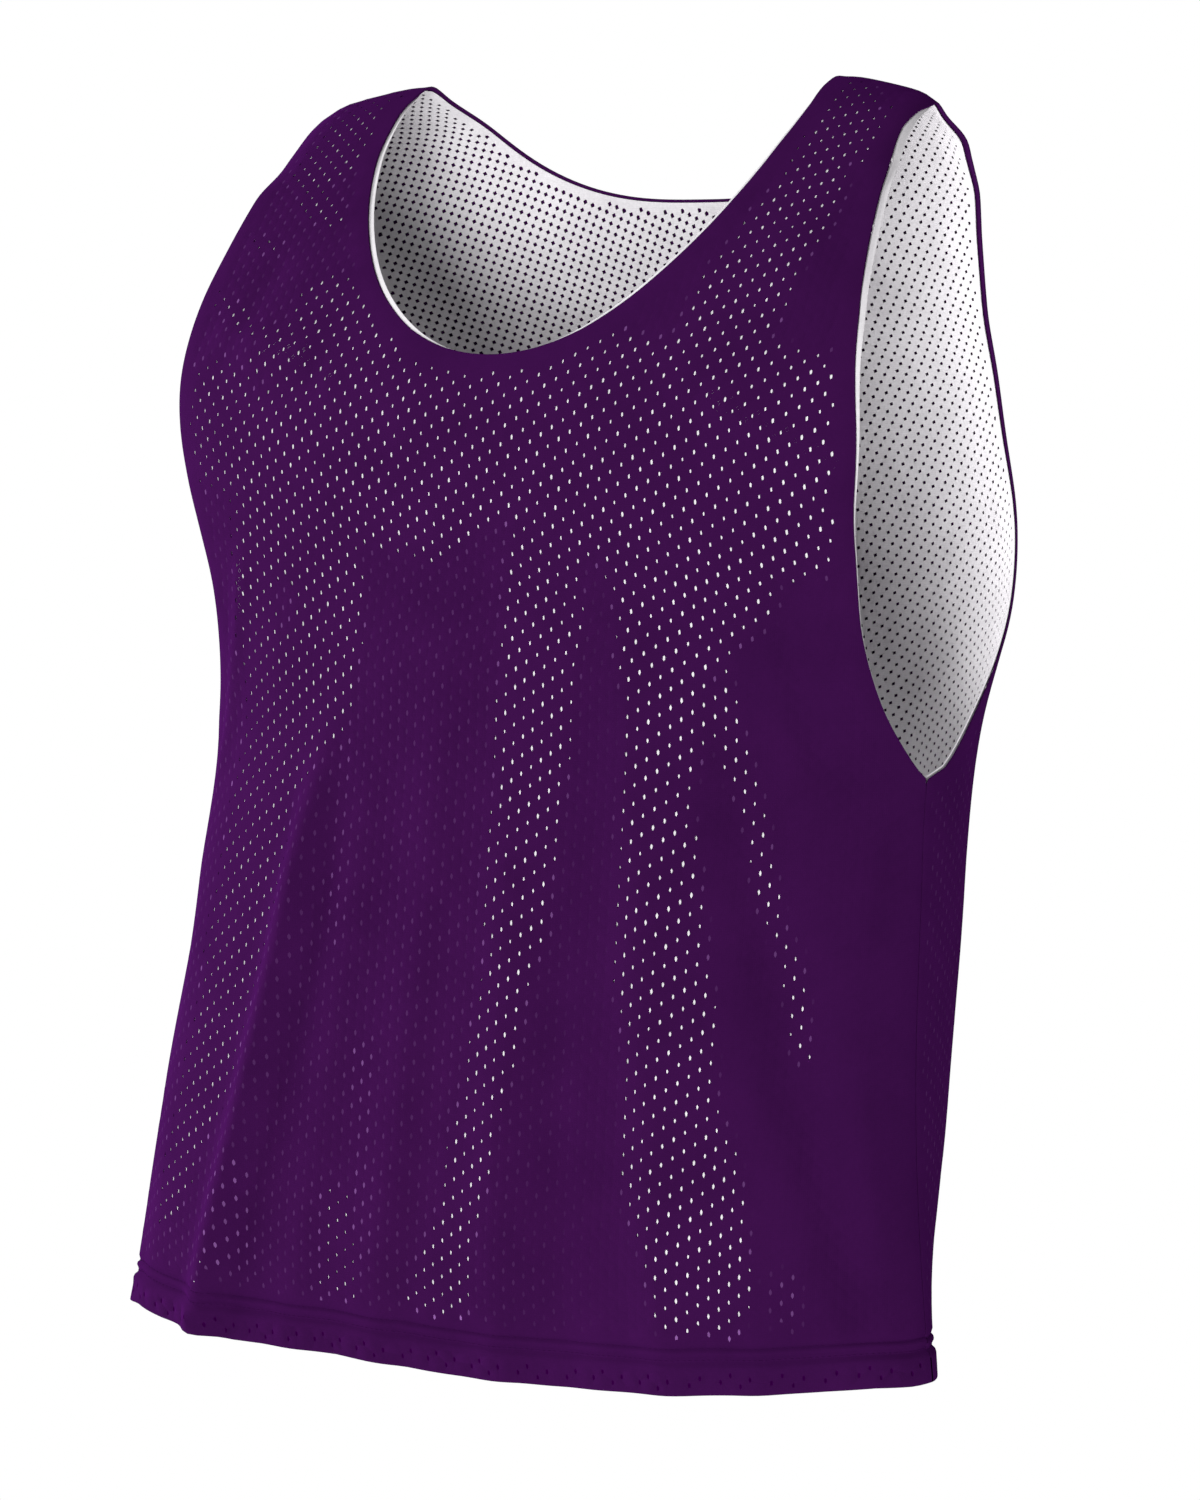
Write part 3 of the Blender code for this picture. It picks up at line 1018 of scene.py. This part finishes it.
@dataclass
class MeshPanel:
    """One cut panel of holed cloth, laid on the worn form with its edges turned and sewn."""

    layer: Layer
    laid: LaidMap
    cut: PanelCut
    hem: TurnedHem
    cloth: MeshCloth
    toward: float
    turn_radius: float
    edge_inset: float
    seam_inset: float
    allowance: float
    right_armhole_share: float = 0.1
    turn_steps: int = 6
    allowance_steps: int = 2
    near_gap: float = 0.1
    far_gap: float = 1.6
    contact_blur: float = 8.0
    contact_spread: float = 0.15
    least_touch: float = 0.45
    full_touch: float = 0.8
    # Painted light in closed holes, standing in for the lit shell behind them, faint everywhere
    # and stronger where the shells nearly touch; painted shade in the hem's closed holes
    faint_painted_light: tuple[float, float] = (0.18, 0.72)
    near_painted_light: tuple[float, float] = (3.15, 5.85)
    painted_light_fade: float = 110.0
    hem_painted_shade: float = -0.22
    least_hole: float = 0.5
    opened_above: float = 30.0
    uneven_holes: float = 0.3
    dimple: float = 0.2
    hem_dimple: float = 0.9
    outer_rim: float = 0.3
    edge_lift: float = -2.05
    hem_lift: float = -1.0
    seat_width: float = 2.0
    seat_reach: float = 6.0
    fold_probe: float = 3.0
    edge_probe: float = 1.5
    sharp_angle: float = 60.0

    @property
    def side(self) -> Side:
        """The half of the jersey that the panel makes."""
        return self.laid.form.side

    @property
    def name(self) -> str:
        """The panel's name, which is its node's name too."""
        return f"{self.side.value}_{self.layer.value}"

    def build(self, finish: Material) -> Object:
        """Make the panel's object.

        Args:
            finish: the cloth's material.
        Returns:
            The finished panel at the origin, with its place in its mesh.
        """
        self.outline = self._drawn_in(self.cut.outline(self.hem, self.laid))
        mesh = self._holed_sheet()
        self._grow_turns(mesh)
        self._grow_rims(mesh)
        data = written(mesh, self.name + "_mesh")
        self._lay(data)
        self._face_outwards(data)
        data.shade_smooth()
        data.set_sharp_from_angle(angle=math.radians(self.sharp_angle))
        data.materials.append(finish)
        return add_object(self.name + "_cloth", data)

    def flat_size(self) -> tuple[float, float]:
        """Width and length of the cut, turned edges included, in metres.

        Returns:
            The width and the length.
        """
        around = 2 * self.allowance + 2 * math.pi * self.turn_radius
        width, length = np.ptp(self.outline.flat, axis=0)
        return (float(width) + around) * MM, (float(length) + around / 2) * MM

    def flat_area(self) -> float:
        """Area of the cut, turned edges included, in square metres."""
        turned = self.outline.length() * (self.allowance + math.pi * self.turn_radius)
        return (self.outline.area() + turned) * MM * MM

    def _drawn_in(self, outline: Outline) -> Outline:
        """The outline drawn in, so that the turned edge ends where the seam is.

        Args:
            outline: the outline of the seams.
        Returns:
            The outline of the sheet before its edges turn.
        """
        by = np.full(len(outline.flat), self.edge_inset)
        for index, edge in enumerate(outline.edges):
            if edge in (Edge.SIDE, Edge.SHOULDER):
                by[index] = self.seam_inset
            if edge is Edge.HEM:
                by[index] = 0.0
            overhang = OVERHANG.get((self.side, edge))
            if overhang:
                places, amounts = zip(*overhang)
                past = float(np.interp(outline.flat[index, 1], places, amounts))
                if edge is Edge.ARMHOLE and outline.flat[index, 0] < 0.0:
                    past *= self.right_armhole_share
                by[index] += max(past if self.layer is Layer.OUTER else -past, 0.0)
        return outline.inset(by)

    def _lattice(self) -> tuple[Array, Array]:
        """Plain points and hole centres of the staggered mesh, in flat positions.

        Returns:
            The positions of the plain points and those of the hole centres.
        """
        cloth = self.cloth
        points = cloth.lattice(self.outline.flat.min(axis=0), self.outline.flat.max(axis=0))
        points = points[self.outline.holds(points)]
        distance, nearest = self.outline.nearest(points)
        edges = np.array([self.outline.edges[index].value for index in nearest])
        opening = (edges == Edge.ARMHOLE.value) | (edges == Edge.NECK.value)
        plain = np.where(opening, cloth.plain_at_opening, cloth.plain_at_seam)
        bare = self.hem.bare(points[:, 1])
        holed = (distance > plain) & ~bare
        kept = (distance > cloth.clear_of_edge) & ~holed & ~bare
        return points[kept], points[holed]

    def _hem_points(self) -> Array:
        """Points along the hem's fold and its rows of thread.

        Returns:
            The flat positions.
        """
        found, spacing, fold_up = [], self.cut.spacing, self.hem.fold_up
        for row in self.hem.rows():
            reach = float(self.laid.half_width(abs(row - fold_up) + fold_up)) - spacing
            found.append(pairs(np.linspace(-reach, reach, round(2 * reach / spacing)), row))
        return np.concatenate(found)

    def _holed_sheet(self) -> BMesh:
        """The flat panel with its holes, each made by bevelling a point of the mesh.

        Returns:
            The flat mesh.
        """
        plain, holed = self._lattice()
        count = len(self.outline.flat)
        points = np.concatenate([self.outline.flat, self._hem_points(), plain, holed])
        first_hole = len(points) - len(holed)
        loop = [(index, (index + 1) % count) for index in range(count)]
        flat = [Vector(point) for point in points]
        places, _, faces, sources, _, _ = delaunay_2d_cdt(flat, loop, [], INSIDE_ONLY, NO_LENGTH)
        mesh = bmesh.new()
        verts = [mesh.verts.new((place.x, place.y, 0.0)) for place in places]
        for face in faces:
            mesh.faces.new([verts[index] for index in face])
        holes = [
            vert for vert, source in zip(verts, sources)
            if source and source[0] >= first_hole and vert.link_faces
        ]
        loose = [vert for vert in verts if not vert.link_faces]
        bmesh.ops.delete(mesh, geom=loose, context="VERTS")
        if self.cloth.four_corners:
            self._open_cells(mesh, holes)
        slim = self.cloth.hole_slimness
        bmesh.ops.scale(mesh, vec=(slim, 1.0, 1.0), verts=mesh.verts)
        made = bmesh.ops.bevel(
            mesh, geom=holes, offset=self.cloth.hole_half_height, offset_type="OFFSET",
            segments=1, profile=0.5, affect="VERTICES", clamp_overlap=False, material=-1,
        )
        bmesh.ops.scale(mesh, vec=(1.0 / slim, 1.0, 1.0), verts=mesh.verts)
        self._open_holes(mesh, made["faces"])
        return mesh

    def _open_holes(self, mesh: BMesh, faces: list[BMFace]) -> None:
        """Cut the holes open, but only dimple them where the shells stand apart, and give those
        closed holes painted light, and painted shade in the hem.

        Args:
            mesh: the flat sheet.
            faces: the face that fills each hole.
        """
        mesh.faces.index_update()
        numbers = [face.index for face in faces]
        turn = mesh.verts.layers.int.new("turn")
        painted_light = mesh.faces.layers.float.new("painted_light")
        mesh.faces.ensure_lookup_table()
        faces = [mesh.faces[number] for number in numbers]
        closed, cut = [], faces
        if self.layer is Layer.OUTER:
            cut = []
            middles = [face.calc_center_median() for face in faces]
            looks = self._hole_looks(*np.array([middle.xy for middle in middles]).T)
            for face, middle, size, light in zip(faces, middles, *looks):
                if size == 0.0:
                    closed.append(face)
                    # Painted light standing in for the lit shell behind the hole, painted shade in
                    # the hem
                    face[painted_light] = float(light)
                    continue
                cut.append(face)
                for vert in face.verts:
                    vert.co = middle + (vert.co - middle) * float(size)
        bmesh.ops.delete(mesh, geom=cut, context="FACES")
        for vert in bmesh.ops.poke(mesh, faces=closed)["verts"]:
            vert[turn] = SUNK
        LOG.info("%s: %d open holes and %d closed", self.name, len(cut), len(closed))

    def _hole_looks(self, across: Array, up: Array) -> tuple[Array, Array]:
        """Each hole's share of its full size, 0 where closed, and its painted light then, negative
        for painted shade in the hem.

        Args:
            across: flat distances of the holes.
            up: their flat lengths up.
        Returns:
            The sizes and the painted light.
        """
        touch = self.touch(across, up)
        chance = np.modf(np.abs(CHANCE[2] * np.sin(CHANCE[0] * across + CHANCE[1] * up)))[0]
        opened = np.where(up < self.opened_above, 0.0, touch)
        size = self.least_hole + (1.0 - self.least_hole) * soft_step(opened / self.full_touch)
        size *= 1.0 - self.uneven_holes * chance
        size[opened < self.least_touch] = 0.0
        painted_level = np.interp(chance, (0.0, 1.0), self.faint_painted_light)
        painted_level *= soft_step((PLAIN_FROM[self.side] - across) / self.painted_light_fade)
        painted_level += np.interp(chance, (0.0, 1.0), self.near_painted_light) * touch
        return size, np.where(up < self.hem.depth, self.hem_painted_shade, painted_level)

    def _open_cells(self, mesh: BMesh, holes: list[BMVert]) -> None:
        """Join the triangles between holes in pairs, so that four edges meet at each hole.

        Args:
            mesh: the flat sheet.
            holes: the centres of the holes.
        """
        holed = set(holes)
        inner = [edge for edge in mesh.edges if all(vert in holed for vert in edge.verts)]
        ends = [self.cloth.counted(np.array([edge.verts[end].co[:2] for edge in inner]))
                for end in range(2)]
        moved = np.abs(ends[1] - ends[0])
        between = [edge for edge, steps in zip(inner, moved) if steps[0] == steps[1] == 1]
        bmesh.ops.dissolve_edges(mesh, edges=between, use_verts=False, use_face_split=False)

    def _number_edge(self, mesh: BMesh) -> None:
        """Write each edge point's number on its vertex, counted from one.

        Args:
            mesh: the flat sheet.
        """
        spot = mesh.verts.layers.int.new("spot")
        tree = self.outline.tree(1)
        for vert in mesh.verts:
            if vert.is_boundary:
                _, index, distance = tree.find(vert.co)
                if distance < SAME_PLACE:
                    vert[spot] = index + 1

    def _grow_turns(self, mesh: BMesh) -> None:
        """Add the cloth that is turned in along the seams and openings.

        Args:
            mesh: the flat sheet.
        """
        self._number_edge(mesh)
        turn = mesh.verts.layers.int["turn"]
        spot = mesh.verts.layers.int["spot"]
        grows = [
            edge is not Edge.HEM and up > self.hem.fold_up
            for edge, up in zip(self.outline.edges, self.outline.flat[:, 1])
        ]
        edges = [
            edge for edge in mesh.edges
            if edge.is_boundary and all(v[spot] and grows[v[spot] - 1] for v in edge.verts)
        ]
        for step in range(1, self.turn_steps + self.allowance_steps + 1):
            grown = bmesh.ops.extrude_edge_only(mesh, edges=edges)["geom"]
            for item in grown:
                if isinstance(item, BMVert):
                    item[turn] = step
            edges = [
                item for item in grown
                if isinstance(item, BMEdge) and all(v[turn] == step for v in item.verts)
            ]

    def _grow_rims(self, mesh: BMesh) -> None:
        """Add the rim of each hole, as deep as the cloth.

        Args:
            mesh: the flat sheet with its turns.
        """
        spot, turn = mesh.verts.layers.int["spot"], mesh.verts.layers.int["turn"]
        rims = [
            edge for edge in mesh.edges
            if edge.is_boundary and not any(v[spot] or v[turn] for v in edge.verts)
        ]
        for item in bmesh.ops.extrude_edge_only(mesh, edges=rims)["geom"]:
            if isinstance(item, BMVert):
                item[turn] = RIM

    def lift(self, across: Array, up: Array) -> Array:
        """How far the sheet's outer face stands off the worn form.

        Args:
            across: flat distances from the middle line.
            up: flat lengths up.
        Returns:
            The lift in millimetres, negative towards the body.
        """
        sewn = self.hem.lift(up)
        if self.layer is Layer.OUTER:
            return sewn
        distance, _ = self.outline.nearest(pairs(across, up))
        near_edge = 1.0 - soft_step((distance - self.seat_width) / self.seat_reach)
        near_hem = 1.0 - soft_step((up - self.hem.fold_up - self.hem.depth) / self.seat_reach)
        lift = -(self.outer_rim + self.gap(across, up))
        lift = lift * (1.0 - near_edge) + self.edge_lift * near_edge
        return lift * (1.0 - near_hem) + self.hem_lift * near_hem + sewn

    def touch(self, across: Array, up: Array) -> Array:
        """How closely the two shells lie together, from 0 to 1.

        Args:
            across: flat distances from the middle line.
            up: flat lengths up.
        Returns:
            The closeness at each position.
        """
        closeness, uneven = np.zeros(len(across)), ragged(across, up)
        for row in map(Contact._make, CONTACTS[self.side]):
            inside = np.full(len(across), -np.inf)
            for (x0, y0, half_0), (x1, y1, half_1) in zip(row.line, row.line[1:]):
                step = np.array([x1 - x0, y1 - y0], dtype=float)
                away = across - x0, up - y0
                along = (away[0] * step[0] + away[1] * step[1]) / (step @ step)
                along = np.clip(along, 0.0, 1.0)
                distance = np.hypot(away[0] - along * step[0], away[1] - along * step[1])
                inside = np.maximum(inside, half_0 + (half_1 - half_0) * along - distance)
            near = soft_step((inside + uneven) / self.contact_blur + self.contact_spread)
            if row.closeness > 0.0:
                closeness = np.maximum(closeness, near * row.closeness)
            else:
                closeness = closeness * (1.0 + near * row.closeness)
        return closeness

    def gap(self, across: Array, up: Array) -> Array:
        """Space between the two shells: hardly any where they touch."""
        return self.far_gap + (self.near_gap - self.far_gap) * self.touch(across, up)

    def place(self, across: Array, up: Array, raised: float | Array = 0.0) -> Array:
        """Points of the sheet's outer face in millimetres, with its hem turned over.

        Args:
            across: flat distances from the middle line.
            up: flat lengths up, below the fold for the turned part of the hem.
            raised: a further lift off the sheet.
        Returns:
            The laid points.
        """
        hem = self.hem
        beyond = hem.fold_up - up
        arc = np.clip(beyond / hem.radius, 0.0, np.pi)
        turned = hem.fold_up + np.maximum(beyond - np.pi * hem.radius, 0.0)
        laid_up = np.where(beyond > 0.0, turned, up)
        point, out = self.laid.spot(across, laid_up)
        fold = np.full(len(up), hem.fold_up)
        above = self.laid.spot(across, fold + self.fold_probe)[0]
        down = unit(self.laid.spot(across, fold)[0] - above)
        lift = self.lift(across, laid_up) + raised + hem.toward * hem.radius * (1.0 - np.cos(arc))
        return point + out * lift[:, None] + down * (hem.radius * np.sin(arc))[:, None]

    def _lay(self, data: Mesh) -> None:
        """Move the flat mesh onto the worn form and keep its flat positions as its UV map.

        Args:
            data: the flat mesh.
        """
        count = len(data.vertices)
        flat = np.zeros(count * 3)
        data.vertices.foreach_get("co", flat)
        flat = flat.reshape(-1, 3)[:, :2].copy()
        spot, turn = np.zeros(count, dtype=np.int32), np.zeros(count, dtype=np.int32)
        data.attributes["spot"].data.foreach_get("value", spot)
        data.attributes["turn"].data.foreach_get("value", turn)
        rim = np.where(turn == RIM, self.cloth.rim * self.toward, 0.0)
        dimple = np.where(flat[:, 1] < self.hem.depth, self.hem_dimple, self.dimple)
        rim = np.where(turn == SUNK, dimple * self.toward, rim)
        folded = np.clip((self.hem.fold_up - flat[:, 1]) / self.hem.radius, 0.0, np.pi)
        points = self.place(flat[:, 0], flat[:, 1], rim * np.cos(folded))
        for step, rows, past in self._turns():
            chosen = turn == step
            at = spot[chosen] - 1
            points[chosen] = rows[at]
            flat[chosen] = self.outline.flat[at] + self.outline.beyond[at] * past
        data.vertices.foreach_set("co", (points * MM).ravel())
        corners = np.zeros(len(data.loops), dtype=np.int32)
        data.loops.foreach_get("vertex_index", corners)
        layer = data.uv_layers.new(name="flat")
        layer.uv.foreach_set("vector", (flat[corners] * MM).ravel())
        for name in ("spot", "turn"):
            data.attributes.remove(data.attributes[name])
        data.update()

    def _turns(self) -> list[tuple[int, Array, float]]:
        """Each row of the turned edge: its step, its points, and its length past the edge.

        Returns:
            One entry for each row, from the edge inwards.
        """
        flat, beyond = self.outline.flat, self.outline.beyond
        edge = self.place(flat[:, 0], flat[:, 1])
        inner = flat - beyond * self.edge_probe
        away = unit(edge - self.place(inner[:, 0], inner[:, 1]))
        out = self.laid.spot(flat[:, 0], flat[:, 1])[1] * self.toward
        radius = self.turn_radius
        rows = []
        for step in range(1, self.turn_steps + 1):
            angle = np.pi * step / self.turn_steps
            bent = edge + away * (radius * math.sin(angle))
            bent = bent + out * (radius * (1 - math.cos(angle)))
            rows.append((step, bent, radius * angle))
        for step in range(1, self.allowance_steps + 1):
            back = self.allowance * step / self.allowance_steps
            under = flat - beyond * back
            laid = self.place(under[:, 0], under[:, 1], self.toward * 2.0 * radius)
            rows.append((self.turn_steps + step, laid, radius * np.pi + back))
        return rows

    def _face_outwards(self, data: Mesh) -> None:
        """Turn every face of the sheet away from the body, its turned edges following.

        Args:
            data: the laid mesh.
        """
        mesh = bmesh.new()
        mesh.from_mesh(data)
        bmesh.ops.recalc_face_normals(mesh, faces=mesh.faces)
        outwards = -1.0 if self.side is Side.FRONT else 1.0
        total = sum((face.normal * face.calc_area() for face in mesh.faces), Vector())
        if total.y * outwards < 0.0:
            bmesh.ops.reverse_faces(mesh, faces=mesh.faces)
        mesh.to_mesh(data)
        mesh.free()


@dataclass
class HemStitching:
    """Rows of thread that hold a turned hem, in millimetres."""

    panel: MeshPanel
    length: float = 2.1
    pitch: float = 2.9
    thickness: float = 0.42
    lift: float = 0.12
    end_gap: float = 3.0
    probe: float = 1.0

    def build(self, finish: Material) -> Object:
        """Make one object with every stitch of the panel's hem.

        Args:
            finish: the thread's material.
        Returns:
            The stitches at the origin, with their places in their mesh.
        """
        mesh = bmesh.new()
        for row in self.panel.hem.stitched:
            self._sew_row(mesh, row)
        data = written(mesh, self.panel.name + "_hem_thread")
        data.shade_smooth()
        data.materials.append(finish)
        return add_object(data.name, data)

    def _sew_row(self, mesh: BMesh, up: float) -> None:
        """Add one row of stitches round the panel at a length up.

        Args:
            mesh: the mesh that takes the stitches.
            up: the row's length up.
        """
        panel = self.panel
        reach = float(panel.laid.half_width(up)) - self.end_gap
        across = np.linspace(-reach, reach, round(2 * reach / self.pitch))
        level = np.full(len(across), up)
        raised = self.lift if panel.layer is Layer.OUTER else -self.lift
        middle = panel.place(across, level, raised)
        ahead = panel.place(across + self.probe, level, raised)
        outs = panel.laid.spot(across, level)[1]
        for place, along, out in zip(middle, unit(ahead - middle), outs):
            along, out = Vector(along), Vector(out)
            turned = Matrix((along, out.cross(along).normalized(), out)).transposed()
            size = Matrix.Diagonal((self.length / 2, self.thickness / 2, self.thickness / 2))
            matrix = Matrix.Translation(Vector(place) * MM) @ (turned @ size * MM).to_4x4()
            bmesh.ops.create_uvsphere(mesh, u_segments=6, v_segments=4, radius=1.0, matrix=matrix)


class Lamp(NamedTuple):
    """A soft lamp that faces the jersey: its direction in degrees and its power in watts."""

    name: str
    azimuth: float
    elevation: float
    power: float


@dataclass(frozen=True)
class Studio:
    """Camera, lights and floor, in metres."""

    azimuth: float = 32.079
    elevation: float = 4.213
    target: tuple[float, float, float] = (0.0003, -0.0338, -0.3175)
    distance: float = 2.78432
    lens: float = 137.65
    sensor: float = 36.0
    far_clip: float = 100.0
    floor_level: float = -1.5
    floor_radius: float = 1.0
    backdrop: float = 1.0
    soft_light: float = 0.02
    lamp_distance: float = 3.0
    lamp_size: float = 1.0
    lamps: tuple[Lamp, ...] = (
        Lamp("front_low", 24.0, -10.0, 55.0),
        Lamp("front", 12.0, 5.0, 54.0),
        Lamp("left_high", -84.0, 50.0, 74.0),
        Lamp("left_low", -80.0, -10.0, 90.0),
        Lamp("right_behind", 130.0, -10.0, 66.0),
    )

    def _aim(self, data: ID, azimuth: float, elevation: float, distance: float) -> Object:
        """Add a camera or a lamp that faces the jersey from a direction in degrees.

        Args:
            data: the camera's or the lamp's data.
            azimuth: degrees from the front to the wearer's left.
            elevation: degrees up.
            distance: metres from the target.
        Returns:
            The object.
        """
        a, e = math.radians(azimuth), math.radians(elevation)
        towards = Vector((math.sin(a) * math.cos(e), -math.cos(a) * math.cos(e), math.sin(e)))
        made = add_object(data.name, data)
        made.location = Vector(self.target) + towards * distance
        made.rotation_euler = (-towards).to_track_quat("-Z", "Y").to_euler()
        return made

    def add_camera(self) -> None:
        """Set the camera at the photo's angle."""
        data = bpy.data.cameras.new("camera")
        data.lens = self.lens
        data.sensor_width = self.sensor
        data.clip_end = self.far_clip
        camera = self._aim(data, self.azimuth, self.elevation, self.distance)
        bpy.context.scene.camera = camera

    def add_lamp(self, lamp: Lamp) -> None:
        """Add one soft lamp.

        Args:
            lamp: where it stands and how bright it is.
        """
        data = bpy.data.lights.new(lamp.name, "AREA")
        data.shape = "DISK"
        data.size = self.lamp_size
        data.energy = lamp.power
        self._aim(data, lamp.azimuth, lamp.elevation, self.lamp_distance)

    def add_floor(self) -> None:
        """Add the pale round floor far below the jersey."""
        mesh = bmesh.new()
        bmesh.ops.create_circle(mesh, cap_ends=True, segments=96, radius=self.floor_radius)
        bmesh.ops.translate(mesh, vec=(0.0, 0.0, self.floor_level), verts=mesh.verts)
        data = written(mesh, "floor")
        material = bpy.data.materials.new("floor_paint")
        material.use_nodes = True
        tree = material.node_tree
        join(tree, tree.nodes["Principled BSDF"], {
            "Base Color": (0.93, 0.93, 0.93, 1.0), "Roughness": 0.9,
        })
        data.materials.append(material)
        floor = add_object("floor", data)

    def build(self) -> None:
        """Set up the whole studio."""
        world = bpy.data.worlds.new("studio")
        world.use_nodes = True
        tree = world.node_tree
        path = add_node(tree, "LightPath", {})
        seen = add_node(tree, "MapRange", {
            "To Min": self.soft_light, "To Max": self.backdrop,
            "Value": path.outputs["Is Camera Ray"],
        })
        join(tree, tree.nodes["Background"], {
            "Color": (1.0, 1.0, 1.0, 1.0), "Strength": seen.outputs["Result"],
        })
        bpy.context.scene.world = world
        bpy.context.scene.view_settings.view_transform = "Standard"
        self.add_camera()
        for lamp in self.lamps:
            self.add_lamp(lamp)
        self.add_floor()


OUTER_CLOTH = MeshCloth(
    along=(5.1, 3.38), rise=(-5.1, 5.37), shift=(0.0, 2.0), hole_half_height=1.53,
    hole_slimness=2.3, four_corners=False, lean=0.22,
)
FRONT_LINING_CLOTH = MeshCloth(
    along=(5.1, -0.995), rise=(0.0, 4.375), shift=(2.55, 3.69), hole_half_height=1.15,
    hole_slimness=1.3, four_corners=True, lean=0.22, plain_at_opening=3.6,
    plain_at_seam=4.5, clear_of_edge=2.6,
)
BACK_LINING_CLOTH = MeshCloth(
    along=(3.9, -1.75), rise=(2.1, 3.9), shift=(0.0, 0.0), hole_half_height=1.5,
    hole_slimness=1.22, four_corners=True, widening=0.45, plain_at_opening=3.6,
    plain_at_seam=4.5, clear_of_edge=2.6,
)
PURPLE = KnitFinish(
    name="purple_mesh",
    colour=(0.0355, 0.0043, 0.0515),
    shade=(0.0275, 0.0034, 0.0405),
    roughness=0.62,
    sheen=0.05,
    sheen_tint=(0.50, 0.03, 0.85),
    gloss=0.0,
    grain=0.5,
)
WHITE = KnitFinish(
    name="white_mesh",
    colour=(0.76, 0.74, 0.765),
    shade=(0.58, 0.56, 0.585),
    roughness=0.75,
    sheen=0.05,
    sheen_tint=(1.0, 1.0, 1.0),
    gloss=0.1,
    grain=0.9,
)
OUTER_HEM = TurnedHem(
    fold_up=0.0, depth=20.0, radius=0.9, toward=-1.0, fold_steps=6, stitched=(16.0, 21.5),
    relief=((0, 1.2), (11.8, 1.2), (13.4, 0.8), (14.9, -0.5), (16.0, -0.9), (17.2, -0.5),
            (18.8, 0.4), (20.2, 0.2), (21.5, -1.0), (22.7, -0.5), (24.2, 0.0)),
)
LINING_HEM = TurnedHem(
    fold_up=27.0, depth=12.0, radius=0.25, toward=1.0, fold_steps=3, stitched=(37.0,),
    relief=((27, 0.0), (35.8, 0.0), (37, 0.1), (38.2, 0.0)),
)


def add_panels() -> None:
    """Build the four panels and the thread of their hems, and place them on the frame."""
    purple, white = PURPLE.material(), WHITE.material()
    for side in Side:
        form = WornForm(side)
        laid, cut = LaidMap(form), PanelCut(form)
        lining_cloth = FRONT_LINING_CLOTH if side is Side.FRONT else BACK_LINING_CLOTH
        lining = MeshPanel(
            Layer.LINING, laid, cut, LINING_HEM, lining_cloth, toward=1.0, turn_radius=0.25,
            edge_inset=0.7, seam_inset=0.7, allowance=2.6,
        )
        outer = MeshPanel(
            Layer.OUTER, laid, cut, OUTER_HEM, OUTER_CLOTH, toward=-1.0, turn_radius=0.5,
            edge_inset=0.5, seam_inset=0.25, allowance=5.0,
        )
        white_cloth = None
        for panel, finish, slot in ((lining, white, WHITE.name), (outer, purple, PURPLE.name)):
            cloth_piece = panel.build(finish)
            thread = HemStitching(panel).build(finish)
            for piece in (cloth_piece, thread):
                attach(piece, "root")
            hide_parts(panel.name)
            under = [white_cloth.name] if white_cloth else []
            panel.flat_size()
            panel.flat_area()
            LOG.info(
                "%s: %d faces, flat %.3f x %.3f m, %.4f m2", cloth_piece.name,
                len(cloth_piece.data.polygons), *panel.flat_size(), panel.flat_area(),
            )
            white_cloth = cloth_piece


def main() -> None:
    """Build the studio and the jersey."""
    logging.basicConfig(level=logging.INFO)
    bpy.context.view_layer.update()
    Studio().build()
    add_panels()


if __name__ == "__main__":
    main()
